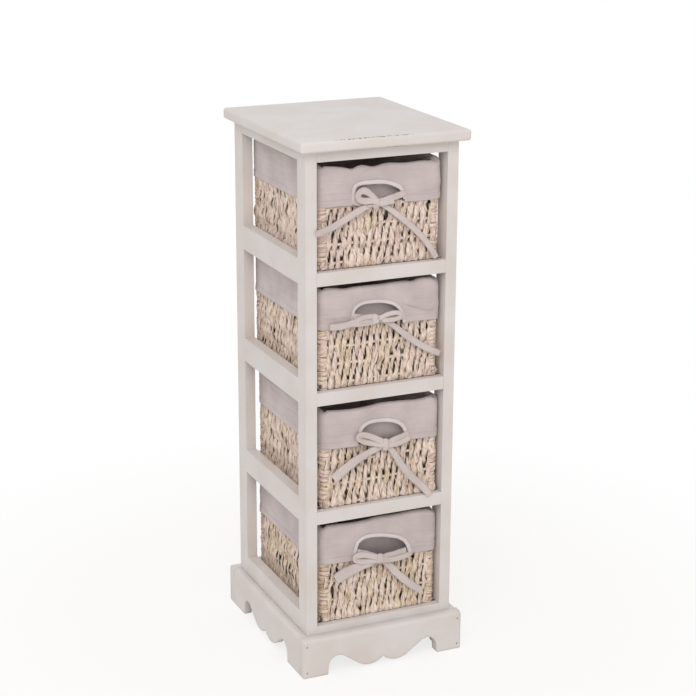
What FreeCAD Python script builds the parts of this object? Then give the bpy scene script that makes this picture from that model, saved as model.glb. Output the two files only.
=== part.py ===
import FreeCAD
import Part
import Sketcher
import math
import os
import re

# A free-standing tower shelf of painted wood with four bays. Each bay holds a woven basket with a
# folded-over cloth liner, and each basket slides straight out of the front.
# Millimetres, +Z up. The origin is on the floor at the middle of the footprint, the front faces -Y.

sizes_mm = {
    # Posts and the rails between them
    "body_width": 264,
    "body_depth": 306,
    "post_width": 19,
    "post_depth": 34,
    "rail_thick": 19,
    "rail_height": 22,
    "side_rail_height": 41,
    "head_rail_height": 18,
    "floor_height": 82,
    "tall_bay_height": 182,
    "bay_height": 176,
    # Shelf panels let into the front and back rails
    "panel_thick": 4,
    "panel_seat": 6,
    "panel_gap": 0.3,
    # Top board
    "top_thick": 18,
    "top_side_overhang": 14,
    "top_front_overhang": 17,
    "top_corner_round": 5,
    "top_edge_round": 5,
    # Plinth boards with their scalloped lower edge
    "plinth_height": 69,
    "plinth_front_thick": 18,
    "plinth_side_thick": 14,
    "lobe_offset": 25,
    "lobe_radius": 36,
    "lobe_low": 4,
    "slope_run": 26,
    "slope_rise": 18.2,
    "arch_radius": 18,
    # Fasteners
    "dowel_radius": 3,
    "dowel_length": 24,
    "side_dowel_inset": 11,
    "nail_radius": 1.2,
    "nail_length": 35,
    "nail_low": 10,
    "nail_drop": 12,
    # Woven baskets and the air round them in their bays
    "basket_side_gap": 7.5,
    "basket_setback": 10,
    "basket_back_gap": 17,
    "basket_headroom": 10.6,
    "tall_headroom": 16.6,
    "basket_lift": 0.4,
    "weave_thick": 7,
    "weave_floor": 6,
    "basket_corner": 16,
    "basket_foot_round": 5,
    "handle_width": 78,
    "handle_height": 28,
    "handle_drop": 35,
    "handle_round": 12,
    # Cloth liners
    "cloth_thick": 1.2,
    "cloth_gap": 0.3,
    "flap_drop": 66,
    "notch_width": 84,
    "notch_height": 33,
    "notch_round": 24,
    "binding_width": 6.5,
    "binding_thick": 1,
    # Tie tapes and their knot
    "tie_width": 10,
    "tie_thick": 0.8,
    "knot_width": 15,
    "knot_height": 13,
    "knot_thick": 4,
    "knot_round": 1.5,
    # How far each basket stands off the middle of its bay, and each notch off the middle of its basket
    "bottom_basket_shift": 3,
    "lower_basket_shift": 4,
    "upper_basket_shift": 0,
    "top_basket_shift": -1,
    "bottom_notch_shift": 4,
    "lower_notch_shift": 4,
    "upper_notch_shift": -2,
    "top_notch_shift": -3,
}

# Bays from the floor up, each with the sizes that give its height and the air over its basket
bays = {
    "bottom": ("tall_bay_height", "tall_headroom"),
    "lower": ("tall_bay_height", "tall_headroom"),
    "upper": ("bay_height", "basket_headroom"),
    "top": ("bay_height", "basket_headroom"),
}

# Routes of the tie tapes over the basket fronts. The knot is across from the basket's middle and up
# from the liner's rim, in millimetres. A left tie is sewn on at the notch's left foot, that far up from
# the rim, and leads to the knot; its tail goes on from the knot towards the basket's lower right corner.
# A right tie goes the other way about. Points of the lead are percent of the way from foot to knot,
# sideways and down, and points of the tail are percent of the way from knot to corner.
tie_routes = {
    "top": {
        "knot": (-8, -62),
        "left": {"foot": -58, "lead": [(50, 90)],
                 "tail": [(13, 8), (31, 22), (50, 39), (69, 58), (83, 77), (92, 91)]},
        "right": {"foot": -53, "lead": [(32, 30), (66, 75)],
                  "tail": [(16, 5), (33, 11), (50, 19), (69, 29), (84, 35), (97, 39)]},
    },
    "upper": {
        "knot": (-6, -55),
        "left": {"foot": -48, "lead": [(44, 58)],
                 "tail": [(16, 6), (31, 18), (48, 32), (67, 46), (85, 57), (97, 62)]},
        "right": {"foot": -57, "lead": [(31, 10), (65, 30)],
                  "tail": [(17, 0), (34, 2), (51, 6), (68, 8), (84, 7)]},
    },
    "lower": {
        "knot": (6, -67),
        "left": {"foot": -48, "lead": [(34, 32), (68, 66)],
                 "tail": [(11, 11), (20, 26), (31, 45), (45, 64), (62, 81), (73, 91)]},
        "right": {"foot": -57, "lead": [(28, 30), (61, 65)],
                  "tail": [(13, 5), (28, 11), (45, 20), (58, 29), (72, 40), (83, 50)]},
    },
    "bottom": {
        "knot": (-1, -65),
        "left": {"foot": -49, "lead": [(32, 31), (66, 64)],
                 "tail": [(13, 11), (27, 28), (43, 46), (60, 61), (74, 72)]},
        "right": {"foot": -62, "lead": [(28, 25), (62, 60)],
                  "tail": [(15, 3), (30, 7), (46, 11), (63, 17), (76, 24)]},
    },
}

doc = FreeCAD.newDocument("basket_shelf")
sheet = doc.addObject("Spreadsheet::Sheet", "Sizes")
for row, (alias, value) in enumerate(sizes_mm.items(), start=1):
    sheet.set("A%d" % row, alias)
    sheet.set("B%d" % row, str(value))
    sheet.setAlias("B%d" % row, alias)
doc.recompute()

nodes = {}
turns = {
    "x": FreeCAD.Rotation(FreeCAD.Vector(0, 0, 1), FreeCAD.Vector(1, 0, 0)),
    "y": FreeCAD.Rotation(FreeCAD.Vector(0, 0, 1), FreeCAD.Vector(0, 1, 0)),
    "z": FreeCAD.Rotation(),
}


def size(alias):
    return float(sheet.get(alias))


def cells(text):
    # Turns the sizes named in a formula into references to the sheet
    return re.sub(r"[a-z]+(?:_[a-z]+)+", lambda found: "Sizes." + found.group(0), text)


def bind(thing, formulas):
    for path, text in formulas.items():
        thing.setExpression(path, cells(text))


def place(thing, x, y, z):
    bind(thing, {"Placement.Base.x": x, "Placement.Base.y": y, "Placement.Base.z": z})


def keep(label, thing):
    thing.Label = label
    nodes[label] = thing


def box(name, length, width, height, x, y, z):
    piece = doc.addObject("Part::Box", name)
    bind(piece, {"Length": length, "Width": width, "Height": height})
    place(piece, x, y, z)
    return piece


def rod(name, axis, radius, length, x, y, z):
    piece = doc.addObject("Part::Cylinder", name)
    piece.Placement = FreeCAD.Placement(FreeCAD.Vector(), turns[axis])
    bind(piece, {"Radius": radius, "Height": length})
    place(piece, x, y, z)
    return piece


def group(name, pieces):
    bundle = doc.addObject("Part::Compound", name)
    bundle.Links = pieces
    return bundle


def cut(name, base, tools):
    result = doc.addObject("Part::Cut", name)
    result.Base = base
    result.Tool = tools[0] if len(tools) == 1 else group(name + "_cutters", tools)
    return result


def fuse(name, first, second):
    result = doc.addObject("Part::Fuse", name)
    result.Base = first
    result.Tool = second
    return result


def edges_of(feature, wanted):
    # Names of a block's edges: upright ones, those of its bottom or top face, or those along Y on top
    shape = feature.Shape
    low, high = shape.BoundBox.ZMin, shape.BoundBox.ZMax
    same = 1e-6
    tests = {
        "upright": lambda ends: abs(ends[0].z - ends[-1].z) > same,
        "bottom": lambda ends: all(abs(end.z - low) < same for end in ends),
        "top": lambda ends: all(abs(end.z - high) < same for end in ends),
    }
    tests["top_along_y"] = lambda ends: tests["top"](ends) and abs(ends[0].x - ends[-1].x) < same
    return ["Edge%d" % number for number, edge in enumerate(shape.Edges, start=1)
            if tests[wanted]([vertex.Point for vertex in edge.Vertexes])]


def rounded_block(name, length, width, height, x, y, z, rounds):
    # A block with rounded edges: rounds lists which edges and their radius, in the order made
    body = doc.addObject("PartDesign::Body", name)
    feature = body.newObject("PartDesign::AdditiveBox", name + "_block")
    bind(feature, {"Length": length, "Width": width, "Height": height})
    for which, radius in rounds:
        doc.recompute()
        fillet = body.newObject("PartDesign::Fillet", name + "_" + which)
        fillet.Base = (feature, edges_of(feature, which))
        bind(fillet, {"Radius": radius})
        feature = fillet
    place(body, x, y, z)
    return body


# Heights of the shelf surfaces, as formulas from the floor up
shelf_tops, above = [], "floor_height"
for high, headroom in bays.values():
    shelf_tops.append(above)
    head_low = "%s + %s" % (above, high)
    above = head_low + " + rail_height"
post_top = head_low + " + head_rail_height"

dowels = []
dowels_at = {}


def add_dowel(axis, x, y, z, *owners):
    # A dowel centred on the joint between the pieces named as its owners
    middle = {"x": x, "y": y, "z": z}
    middle[axis] = "%s - dowel_length / 2" % middle[axis]
    piece = rod("dowel_%d" % len(dowels), axis, "dowel_radius", "dowel_length",
                middle["x"], middle["y"], middle["z"])
    dowels.append(piece)
    for owner in owners:
        dowels_at.setdefault(owner, []).append(piece)


corners = [(front, side) for front in ("front", "back") for side in ("left", "right")]
sign_of = {"front": "-1", "back": "1", "left": "-1", "right": "1"}


def rail_levels():
    # Each level's name ending, the underside of its rails and whether it is the head level
    for bay, top in zip(bays, shelf_tops):
        yield "rail_" + bay, "%s - rail_height" % top, False
    yield "head_rail", head_low, True


# Dowels: one in each end of the front and back rails, one or two in each end of the side rails,
# and one upright in each post under the top board
for front, side in corners:
    post = "%s_%s_post" % (front, side)
    across, along = sign_of[side], sign_of[front]
    for ending, low, is_head in rail_levels():
        height = "head_rail_height" if is_head else "rail_height"
        add_dowel("x", "%s * (body_width / 2 - post_width)" % across,
                  "%s * (body_depth / 2 - rail_thick / 2)" % along,
                  "%s + %s / 2" % (low, height), post, "%s_%s" % (front, ending))
        if is_head:
            rises = ["head_rail_height / 2"]
        else:
            rises = ["side_dowel_inset", "side_rail_height - side_dowel_inset"]
        for rise in rises:
            add_dowel("y", "%s * (body_width / 2 - post_width / 2)" % across,
                      "%s * (body_depth / 2 - post_depth)" % along,
                      "%s + %s" % (low, rise), post, "%s_%s" % (side, ending))
    add_dowel("z", "%s * (body_width / 2 - post_width / 2)" % across,
              "%s * (body_depth / 2 - post_depth / 2)" % along, post_top, post, "top_board")
keep("dowels", group("dowels", dowels))

# Posts
for front, side in corners:
    post = "%s_%s_post" % (front, side)
    low_x = "-body_width / 2" if side == "left" else "body_width / 2 - post_width"
    low_y = "-body_depth / 2" if front == "front" else "body_depth / 2 - post_depth"
    blank = box(post + "_blank", "post_width", "post_depth", post_top, low_x, low_y, "0")
    keep(post, cut(post, blank, dowels_at[post]))

# Front and back rails, with a rebate on the inside for the shelf panel
for front in ("front", "back"):
    low_y = "-body_depth / 2" if front == "front" else "body_depth / 2 - rail_thick"
    seat_y = low_y if front == "back" else "-body_depth / 2 + rail_thick - panel_seat"
    for ending, low, is_head in rail_levels():
        rail = "%s_%s" % (front, ending)
        height = "head_rail_height" if is_head else "rail_height"
        length, low_x = "body_width - 2 * post_width", "-body_width / 2 + post_width"
        blank = box(rail + "_blank", length, "rail_thick", height, low_x, low_y, low)
        cutters = list(dowels_at[rail])
        if not is_head:
            seat_z = "%s + rail_height - panel_thick" % low
            cutters.append(box(rail + "_seat", length, "panel_seat", "panel_thick", low_x, seat_y, seat_z))
        keep(rail, cut(rail, blank, cutters))

# Side rails, which stand above the shelf surface and keep the basket in line
for side in ("left", "right"):
    low_x = "-body_width / 2" if side == "left" else "body_width / 2 - post_width"
    for ending, low, is_head in rail_levels():
        rail = "%s_%s" % (side, ending)
        height = "head_rail_height" if is_head else "side_rail_height"
        blank = box(rail + "_blank", "post_width", "body_depth - 2 * post_depth", height,
                    low_x, "-body_depth / 2 + post_depth", low)
        keep(rail, cut(rail, blank, dowels_at[rail]))

# Shelf panels
for bay, top in zip(bays, shelf_tops):
    keep("shelf_panel_" + bay, box(
        "shelf_panel_" + bay,
        "body_width - 2 * post_width - 2 * panel_gap",
        "body_depth - 2 * rail_thick + 2 * panel_seat - 2 * panel_gap", "panel_thick",
        "-body_width / 2 + post_width + panel_gap",
        "-body_depth / 2 + rail_thick - panel_seat + panel_gap", "%s - panel_thick" % top))

# Top board with rounded corners and a rounded nose all round, which takes at most this share of the
# board's thickness
nose_share = 0.45
nose = "min(top_edge_round; top_corner_round; %s * top_thick)" % nose_share
blank = rounded_block(
    "top_board_blank", "body_width + 2 * top_side_overhang",
    "body_depth + 2 * top_front_overhang", "top_thick",
    "-body_width / 2 - top_side_overhang", "-body_depth / 2 - top_front_overhang", post_top,
    [("upright", "top_corner_round"), ("bottom", nose), ("top", nose)])
keep("top_board", cut("top_board", blank, dowels_at["top_board"]))


def scallop_points():
    # Centres of the lobe and the arch, and where the straight slope between them leaves each
    run, rise = size("slope_run"), size("slope_rise")
    lobe = FreeCAD.Vector(size("lobe_offset"), size("lobe_low") + size("lobe_radius"), 0)
    outward = FreeCAD.Vector(rise, -run, 0).normalize()
    leave = lobe + outward * size("lobe_radius")
    meet = leave + FreeCAD.Vector(run, rise, 0)
    return lobe, leave, meet, meet + outward * size("arch_radius")


def arc(centre, start, end):
    # A sketch arc, anticlockwise from start to end
    circle = Part.Circle(centre, FreeCAD.Vector(0, 0, 1), (start - centre).Length)
    return Part.ArcOfCircle(circle, circle.parameter(start), circle.parameter(end))


def scalloped_board(name, plane_role, half_length, thickness):
    # A board on edge: feet at both ends, an arch beside each foot and two lobes with a cusp between
    body = doc.addObject("PartDesign::Body", name)
    sketch = body.newObject("Sketcher::SketchObject", name + "_outline")
    plane = [part for part in body.Origin.OriginFeatures if part.Role == plane_role][0]
    sketch.AttachmentSupport = [(plane, "")]
    sketch.MapMode = "FlatFace"
    half, high = half_length[0], size("plinth_height")
    lobe, leave, meet, arch = scallop_points()
    cusp_height = lobe.y - math.sqrt(size("lobe_radius") ** 2 - lobe.x ** 2)
    cusp = FreeCAD.Vector(0, cusp_height, 0)

    def flip(point):
        return FreeCAD.Vector(-point.x, point.y, 0)

    def line(start, end):
        return sketch.addGeometry(Part.LineSegment(start, end), False)

    def rule(kind, *where):
        return sketch.addConstraint(Sketcher.Constraint(kind, *where))

    def measure(kind, formula, *where):
        bind(sketch, {"Constraints[%d]" % rule(kind, *where): formula})

    origin, start, end, centre = (-1, 1), 1, 2, 3
    x_axis, y_axis = -1, -2
    spring = FreeCAD.Vector(arch.x + size("arch_radius"), arch.y, 0)
    foot = FreeCAD.Vector(spring.x, 0, 0)
    outer, shoulder = FreeCAD.Vector(half, 0, 0), FreeCAD.Vector(half, high, 0)
    right_edge = line(outer, shoulder)
    top_edge = line(shoulder, flip(shoulder))
    left_edge = line(flip(shoulder), flip(outer))
    rule("Coincident", right_edge, end, top_edge, start)
    rule("Coincident", top_edge, end, left_edge, start)
    rule("Vertical", right_edge)
    rule("Vertical", left_edge)
    rule("Horizontal", top_edge)
    right_foot, left_foot = line(foot, outer), line(flip(outer), flip(foot))
    right_inner, left_inner = line(spring, foot), line(flip(foot), flip(spring))
    right_arch = sketch.addGeometry(arc(arch, spring, meet), False)
    left_arch = sketch.addGeometry(arc(flip(arch), flip(meet), flip(spring)), False)
    right_slope, left_slope = line(leave, meet), line(flip(meet), flip(leave))
    right_lobe = sketch.addGeometry(arc(lobe, cusp, leave), False)
    left_lobe = sketch.addGeometry(arc(flip(lobe), flip(leave), cusp), False)
    rule("Coincident", right_foot, end, right_edge, start)
    rule("Coincident", left_edge, end, left_foot, start)
    rule("Coincident", right_inner, end, right_foot, start)
    rule("Coincident", left_foot, end, left_inner, start)
    rule("Tangent", right_arch, start, right_inner, start)
    rule("Tangent", left_arch, end, left_inner, end)
    rule("Tangent", right_arch, end, right_slope, end)
    rule("Tangent", left_arch, start, left_slope, start)
    rule("Tangent", right_lobe, end, right_slope, start)
    rule("Tangent", left_lobe, start, left_slope, end)
    rule("Coincident", left_lobe, end, right_lobe, start)
    rule("PointOnObject", right_lobe, start, y_axis)
    for inner, foot_line, foot_end in ((right_inner, right_foot, end), (left_inner, left_foot, start)):
        rule("Vertical", inner)
        rule("Horizontal", foot_line)
        rule("PointOnObject", foot_line, foot_end, x_axis)
    measure("DistanceX", half_length[1], *origin, right_edge, start, half)
    measure("DistanceX", half_length[1], left_edge, end, *origin, half)
    measure("DistanceY", "plinth_height", *origin, top_edge, start, high)
    for slope, low_end, high_end in ((right_slope, start, end), (left_slope, end, start)):
        measure("DistanceY", "slope_rise", slope, low_end, slope, high_end, size("slope_rise"))
        measure("DistanceX", "slope_run", slope, start, slope, end, size("slope_run"))
    for piece in (right_arch, left_arch):
        measure("Radius", "arch_radius", piece, size("arch_radius"))
    for piece in (right_lobe, left_lobe):
        measure("DistanceY", "lobe_low + lobe_radius", *origin, piece, centre, lobe.y)
        measure("Radius", "lobe_radius", piece, size("lobe_radius"))
    measure("DistanceX", "lobe_offset", *origin, right_lobe, centre, lobe.x)
    pad = body.newObject("PartDesign::Pad", name + "_pad")
    pad.Profile = sketch
    bind(pad, {"Length": thickness})
    return body


# Plinth: the front and back boards run across the ends of the side boards and are nailed to them
nails = []
nails_at = {}
for front in ("front", "back"):
    for side in ("left", "right"):
        for height in ("nail_low", "plinth_height - nail_drop"):
            outside = "%s * (body_depth / 2 + plinth_front_thick)" % sign_of[front]
            low_y = outside if front == "front" else outside + " - nail_length"
            nail = rod("nail_%d" % len(nails), "y", "nail_radius", "nail_length",
                       "%s * (body_width + plinth_side_thick) / 2" % sign_of[side], low_y, height)
            nails.append(nail)
            for owner in (front, side):
                nails_at.setdefault(owner, []).append(nail)
keep("plinth_nails", group("plinth_nails", nails))

front_half = (size("body_width") / 2 + size("plinth_side_thick"), "body_width / 2 + plinth_side_thick")
side_half = (size("body_depth") / 2, "body_depth / 2")
for front in ("front", "back"):
    board = scalloped_board(front + "_plinth_board", "XZ_Plane", front_half, "plinth_front_thick")
    near_y = "-body_depth / 2" if front == "front" else "body_depth / 2 + plinth_front_thick"
    bind(board, {"Placement.Base.y": near_y})
    keep(front + "_plinth", cut(front + "_plinth", board, nails_at[front]))
for side in ("left", "right"):
    board = scalloped_board(side + "_plinth_board", "YZ_Plane", side_half, "plinth_side_thick")
    low_x = "-body_width / 2 - plinth_side_thick" if side == "left" else "body_width / 2"
    bind(board, {"Placement.Base.x": low_x})
    keep(side + "_plinth", cut(side + "_plinth", board, nails_at[side]))


basket_width = "body_width - 2 * post_width - 2 * basket_side_gap"
basket_depth = "body_depth - basket_setback - basket_back_gap"


def shell_block(name, grow, low, high, shift, rounds):
    # An upright block around a basket's outline, grown sideways, between two heights
    return rounded_block(
        name, "%s + 2 * (%s)" % (basket_width, grow), "%s + 2 * (%s)" % (basket_depth, grow),
        "%s - (%s)" % (high, low), "%s - (%s) / 2 - (%s)" % (shift, basket_width, grow),
        "-body_depth / 2 + basket_setback - (%s)" % grow, low, rounds)


def rounded_path(points):
    # Straight runs joined by tangent arcs that take this share of the shorter run, and the least radius
    reach = 0.45
    edges, last, tightest = [], points[0], None
    for before, corner, after in zip(points, points[1:], points[2:]):
        back, ahead = before - corner, after - corner
        half_turn = (math.pi - back.getAngle(ahead)) / 2
        trim = reach * min(back.Length, ahead.Length)
        radius = trim / math.tan(half_turn)
        start = corner + FreeCAD.Vector(back).normalize() * trim
        end = corner + FreeCAD.Vector(ahead).normalize() * trim
        inward = (FreeCAD.Vector(back).normalize() + FreeCAD.Vector(ahead).normalize()).normalize()
        middle = corner + inward * (radius / math.cos(half_turn) - radius)
        edges.append(Part.LineSegment(last, start).toShape())
        edges.append(Part.Arc(start, middle, end).toShape())
        last = end
        tightest = radius if tightest is None else min(tightest, radius)
    edges.append(Part.LineSegment(last, points[-1]).toShape())
    return Part.Wire(edges), tightest


def part_way(start, end, percents):
    # Points between two others, at percents of the way sideways and of the way down
    return [FreeCAD.Vector(start.x + (end.x - start.x) * across / 100, start.y,
                           start.z + (end.z - start.z) * down / 100) for across, down in percents]


def tape(label, foot, knot, corner, route):
    # A flat tape on edge across the basket front, from its sewn foot through the knot towards a corner
    width, thick = size("tie_width"), size("tie_thick")
    points = [foot] + part_way(foot, knot, route["lead"]) + [knot] + part_way(knot, corner, route["tail"])
    path, tightest = rounded_path(points)
    first = (points[1] - points[0]).normalize()
    sideways = FreeCAD.Vector(first.z, 0, -first.x) * (width / 2)
    through = FreeCAD.Vector(0, thick / 2, 0)
    rim = [points[0] + sideways + through, points[0] + sideways - through,
           points[0] - sideways - through, points[0] - sideways + through]
    section = Part.makePolygon(rim + rim[:1])
    solid = path.makePipeShell([section], True, False)
    expected, allowed = width * thick * path.Length, 0.02
    if abs(solid.Volume - expected) > allowed * expected:
        raise RuntimeError("%s has volume %.1f, expected %.1f" % (label, solid.Volume, expected))
    print("%s: length %.1f, tightest radius %.1f" % (label, path.Length, tightest))
    piece = doc.addObject("Part::Feature", label)
    piece.Shape = solid
    piece.Placement = FreeCAD.Placement()
    return piece


def value_of(formula):
    # A formula of sheet sizes as a number
    probe = doc.addObject("App::FeaturePython", "probe")
    probe.addProperty("App::PropertyFloat", "Value")
    probe.setExpression("Value", cells(formula))
    doc.recompute()
    number = probe.Value
    doc.removeObject(probe.Name)
    return number


# Baskets, each with its weave, liner, notch binding, two tie tapes and knot
front_face = "-body_depth / 2 + basket_setback"
flap_grow = "cloth_gap + cloth_thick"
for bay, top in zip(bays, shelf_tops):
    name = "basket_" + bay
    shift, notch_shift = bay + "_basket_shift", bay + "_notch_shift"
    low = "%s + basket_lift" % top
    rim = "%s + %s - %s" % (top, *bays[bay])
    crown = "%s + cloth_gap + cloth_thick" % rim
    bag = "-weave_thick - cloth_gap"

    # Weave: an open-topped box with rounded corners and a handle hole in front
    outside = shell_block(name + "_outside", "0", low, rim, shift,
                          [("upright", "basket_corner"), ("bottom", "basket_foot_round")])
    inside = shell_block(name + "_inside", "-weave_thick", "%s + weave_floor" % low,
                         "%s + weave_thick" % rim, shift, [("upright", "basket_corner - weave_thick")])
    handle_top = "%s - handle_drop" % rim
    handle = rounded_block(
        name + "_handle", "handle_width", "2 * weave_thick", "handle_height",
        "%s - handle_width / 2" % shift, "%s - weave_thick / 2" % front_face,
        "%s - handle_height" % handle_top, [("top_along_y", "handle_round")])
    keep(name + "_weave", cut(name + "_weave", cut(name + "_shell", outside, [inside]), [handle]))

    # Liner: a bag inside the weave that folds over its rim and hangs down outside as a flap
    flap_low = "%s - flap_drop" % crown
    flap = shell_block(name + "_flap", flap_grow, flap_low, crown, shift,
                       [("upright", "basket_corner + cloth_gap + cloth_thick")])
    room = shell_block(name + "_room", "cloth_gap", "%s - cloth_thick" % flap_low,
                       "%s + cloth_gap" % rim, shift, [("upright", "basket_corner + cloth_gap")])
    bag_low = "%s + weave_floor + cloth_gap" % low
    bag_out = shell_block(name + "_bag", bag, bag_low, crown, shift,
                          [("upright", "basket_corner - weave_thick - cloth_gap")])
    bag_in = shell_block(name + "_bag_inside", "%s - cloth_thick" % bag, "%s + cloth_thick" % bag_low,
                         "%s + cloth_thick" % crown, shift,
                         [("upright", "basket_corner - weave_thick - cloth_gap - cloth_thick")])
    notch_middle = "%s + %s" % (shift, notch_shift)
    notch = rounded_block(
        name + "_notch", "notch_width", "2 * cloth_thick + cloth_gap", "notch_height + cloth_thick",
        "%s - notch_width / 2" % notch_middle, "%s - cloth_gap - 2 * cloth_thick" % front_face,
        "%s - cloth_thick" % flap_low, [("top_along_y", "notch_round")])
    cap = cut(name + "_cap", flap, [room])
    lined = fuse(name + "_lined", cap, bag_out)
    keep(name + "_liner", cut(name + "_liner", lined, [bag_in, notch]))

    # Binding: a tape sewn round the notch on the outside of the flap
    flap_face = "%s - cloth_gap - cloth_thick" % front_face
    band = rounded_block(
        name + "_band", "notch_width + 2 * binding_width", "binding_thick", "notch_height + binding_width",
        "%s - notch_width / 2 - binding_width" % notch_middle, "%s - binding_thick" % flap_face, flap_low,
        [("top_along_y", "notch_round + binding_width")])
    gap = rounded_block(
        name + "_band_gap", "notch_width", "3 * binding_thick", "notch_height + cloth_thick",
        "%s - notch_width / 2" % notch_middle, "%s - 2 * binding_thick" % flap_face,
        "%s - cloth_thick" % flap_low, [("top_along_y", "notch_round")])
    keep(name + "_binding", cut(name + "_binding", band, [gap]))

    # Ties: the left one lies on the binding, the right one on the left one, and the knot on both
    knot_x, knot_up = tie_routes[bay]["knot"]
    rim_z, floor_z = value_of(crown), value_of(low)
    middle, half_width = value_of(shift), value_of("(%s) / 2" % basket_width)
    sewn_at = value_of("notch_width / 2 + binding_width / 2")
    for layer, (side, sign) in enumerate((("left", -1), ("right", 1))):
        label = "%s_tie_%s" % (name, side)
        route = tie_routes[bay][side]
        depth = value_of("%s - binding_thick - (%d + 1 / 2) * tie_thick" % (flap_face, layer))
        foot = FreeCAD.Vector(value_of(notch_middle) + sign * sewn_at, depth, rim_z + route["foot"])
        knot = FreeCAD.Vector(middle + knot_x, depth, rim_z + knot_up)
        corner = FreeCAD.Vector(middle - sign * half_width, depth, floor_z)
        keep(label, tape(label, foot, knot, corner, route))
    keep(name + "_knot", rounded_block(
        name + "_knot", "knot_width", "knot_thick", "knot_height",
        "%s + %s - knot_width / 2" % (shift, knot_x),
        "%s - binding_thick - 2 * tie_thick - knot_thick" % flap_face,
        "%s + %s - knot_height / 2" % (crown, knot_up), [("upright", "knot_round")]))

doc.recompute()

for thing in doc.Objects:
    if "Invalid" in thing.State or "Error" in thing.State:
        raise RuntimeError("%s could not be built: %s" % (thing.Label, thing.State))
for label, thing in nodes.items():
    if thing.Shape.isNull() or not thing.Shape.isValid():
        raise RuntimeError("%s has no valid shape" % label)

os.makedirs("parts", exist_ok=True)
for label, thing in nodes.items():
    thing.Shape.exportStep("parts/%s.step" % label)
print("%d nodes, %d solids" % (len(nodes), sum(len(thing.Shape.Solids) for thing in nodes.values())))
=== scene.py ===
import math
import random
from functools import partial

import bmesh
import bpy
from mathutils import Matrix, Vector, noise


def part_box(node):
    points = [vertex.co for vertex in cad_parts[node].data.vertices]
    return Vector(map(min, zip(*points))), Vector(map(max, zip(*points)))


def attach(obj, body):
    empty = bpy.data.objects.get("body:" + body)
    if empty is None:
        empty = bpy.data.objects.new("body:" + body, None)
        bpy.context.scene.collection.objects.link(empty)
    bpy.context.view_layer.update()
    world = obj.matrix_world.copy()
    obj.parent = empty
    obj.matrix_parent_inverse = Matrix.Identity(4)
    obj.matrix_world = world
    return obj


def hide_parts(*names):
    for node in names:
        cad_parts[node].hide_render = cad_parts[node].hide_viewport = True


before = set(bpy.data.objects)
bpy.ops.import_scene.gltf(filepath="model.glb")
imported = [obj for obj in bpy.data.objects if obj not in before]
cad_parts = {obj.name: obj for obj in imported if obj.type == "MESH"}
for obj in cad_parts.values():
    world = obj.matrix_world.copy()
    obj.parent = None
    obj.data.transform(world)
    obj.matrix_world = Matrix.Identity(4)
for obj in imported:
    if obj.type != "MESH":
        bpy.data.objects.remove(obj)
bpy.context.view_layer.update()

mm = 0.001
bays = ("bottom", "lower", "upper", "top")
print("frame loaded:", len(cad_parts), "nodes")


# Small helpers

def linear(hexColour):
    parts = [int(hexColour[i:i + 2], 16) / 255 for i in (1, 3, 5)]
    return [p / 12.92 if p <= 0.04045 else ((p + 0.055) / 1.055) ** 2.4 for p in parts] + [1]


def addNode(tree, kind, inputs=(), stops=(), **settings):
    # Inputs go by name, or in order as a list. Each takes a value, a socket, or a node whose first output
    # it is linked to. A kind without "Node" in it is a shader node.
    node = tree.nodes.new(kind if "Node" in kind else "ShaderNode" + kind)
    for name, value in settings.items():
        setattr(node, name, value)
    for socket, value in inputs.items() if isinstance(inputs, dict) else enumerate(inputs):
        if isinstance(value, bpy.types.Node):
            value = value.outputs[0]
        if isinstance(value, bpy.types.NodeSocket):
            tree.links.new(value, node.inputs[socket])
        else:
            node.inputs[socket].default_value = value
    for number, (place, colour) in enumerate(stops):
        elements = node.color_ramp.elements
        stop = elements[number] if number < 2 else elements.new(place)
        stop.position = place
        stop.color = linear(colour)
    return node


def newMaterial(name):
    # An empty material, with addNode bound to its tree
    material = bpy.data.materials.new(name)
    material.use_nodes = True
    material.node_tree.nodes.clear()
    return material, partial(addNode, material.node_tree)


def endMaterial(add, inputs):
    shader = add("BsdfPrincipled", inputs)
    add("OutputMaterial", {"Surface": shader})


def newTree(name, sockets):
    # An empty geometry tree with named inputs, and addNode bound to it
    tree = bpy.data.node_groups.new(name, "GeometryNodeTree")
    for label, kind in sockets.items():
        tree.interface.new_socket(label, in_out="INPUT", socket_type="NodeSocket" + kind)
    tree.interface.new_socket("Result", in_out="OUTPUT", socket_type="NodeSocketGeometry")
    add = partial(addNode, tree)
    return tree, add, add("NodeGroupInput").outputs


def endTree(add, geometry, material):
    real = add("GeometryNodeRealizeInstances", [geometry])
    dressed = add("GeometryNodeSetMaterial", {"Geometry": real, "Material": material})
    add("NodeGroupOutput", {"Result": dressed})


def addObject(name, data):
    thing = bpy.data.objects.new(name, data)
    bpy.context.scene.collection.objects.link(thing)
    return thing


def grown(tree, **inputs):
    # Runs a geometry tree and keeps what it makes as a plain mesh
    holder = addObject("grown", bpy.data.meshes.new("grown"))
    modifier = holder.modifiers.new("grow", "NODES")
    modifier.node_group = tree
    for item in tree.interface.items_tree:
        if item.in_out == "INPUT":
            modifier[item.identifier] = inputs[item.name]
    depsgraph = bpy.context.evaluated_depsgraph_get()
    mesh = bpy.data.meshes.new_from_object(
        holder.evaluated_get(depsgraph), preserve_all_data_layers=True, depsgraph=depsgraph)
    bpy.data.objects.remove(holder)
    for thing in inputs.values():
        if isinstance(thing, bpy.types.Object):
            bpy.data.objects.remove(thing)
    return mesh


def newMesh(name, points, faces, marks=None):
    # marks are named values in the order of the points
    mesh = bpy.data.meshes.new(name)
    mesh.from_pydata(points, [], faces)
    for mark, values in (marks or {}).items():
        mesh.attributes.new(mark, "FLOAT", "POINT").data.foreach_set("value", values)
    return mesh


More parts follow.
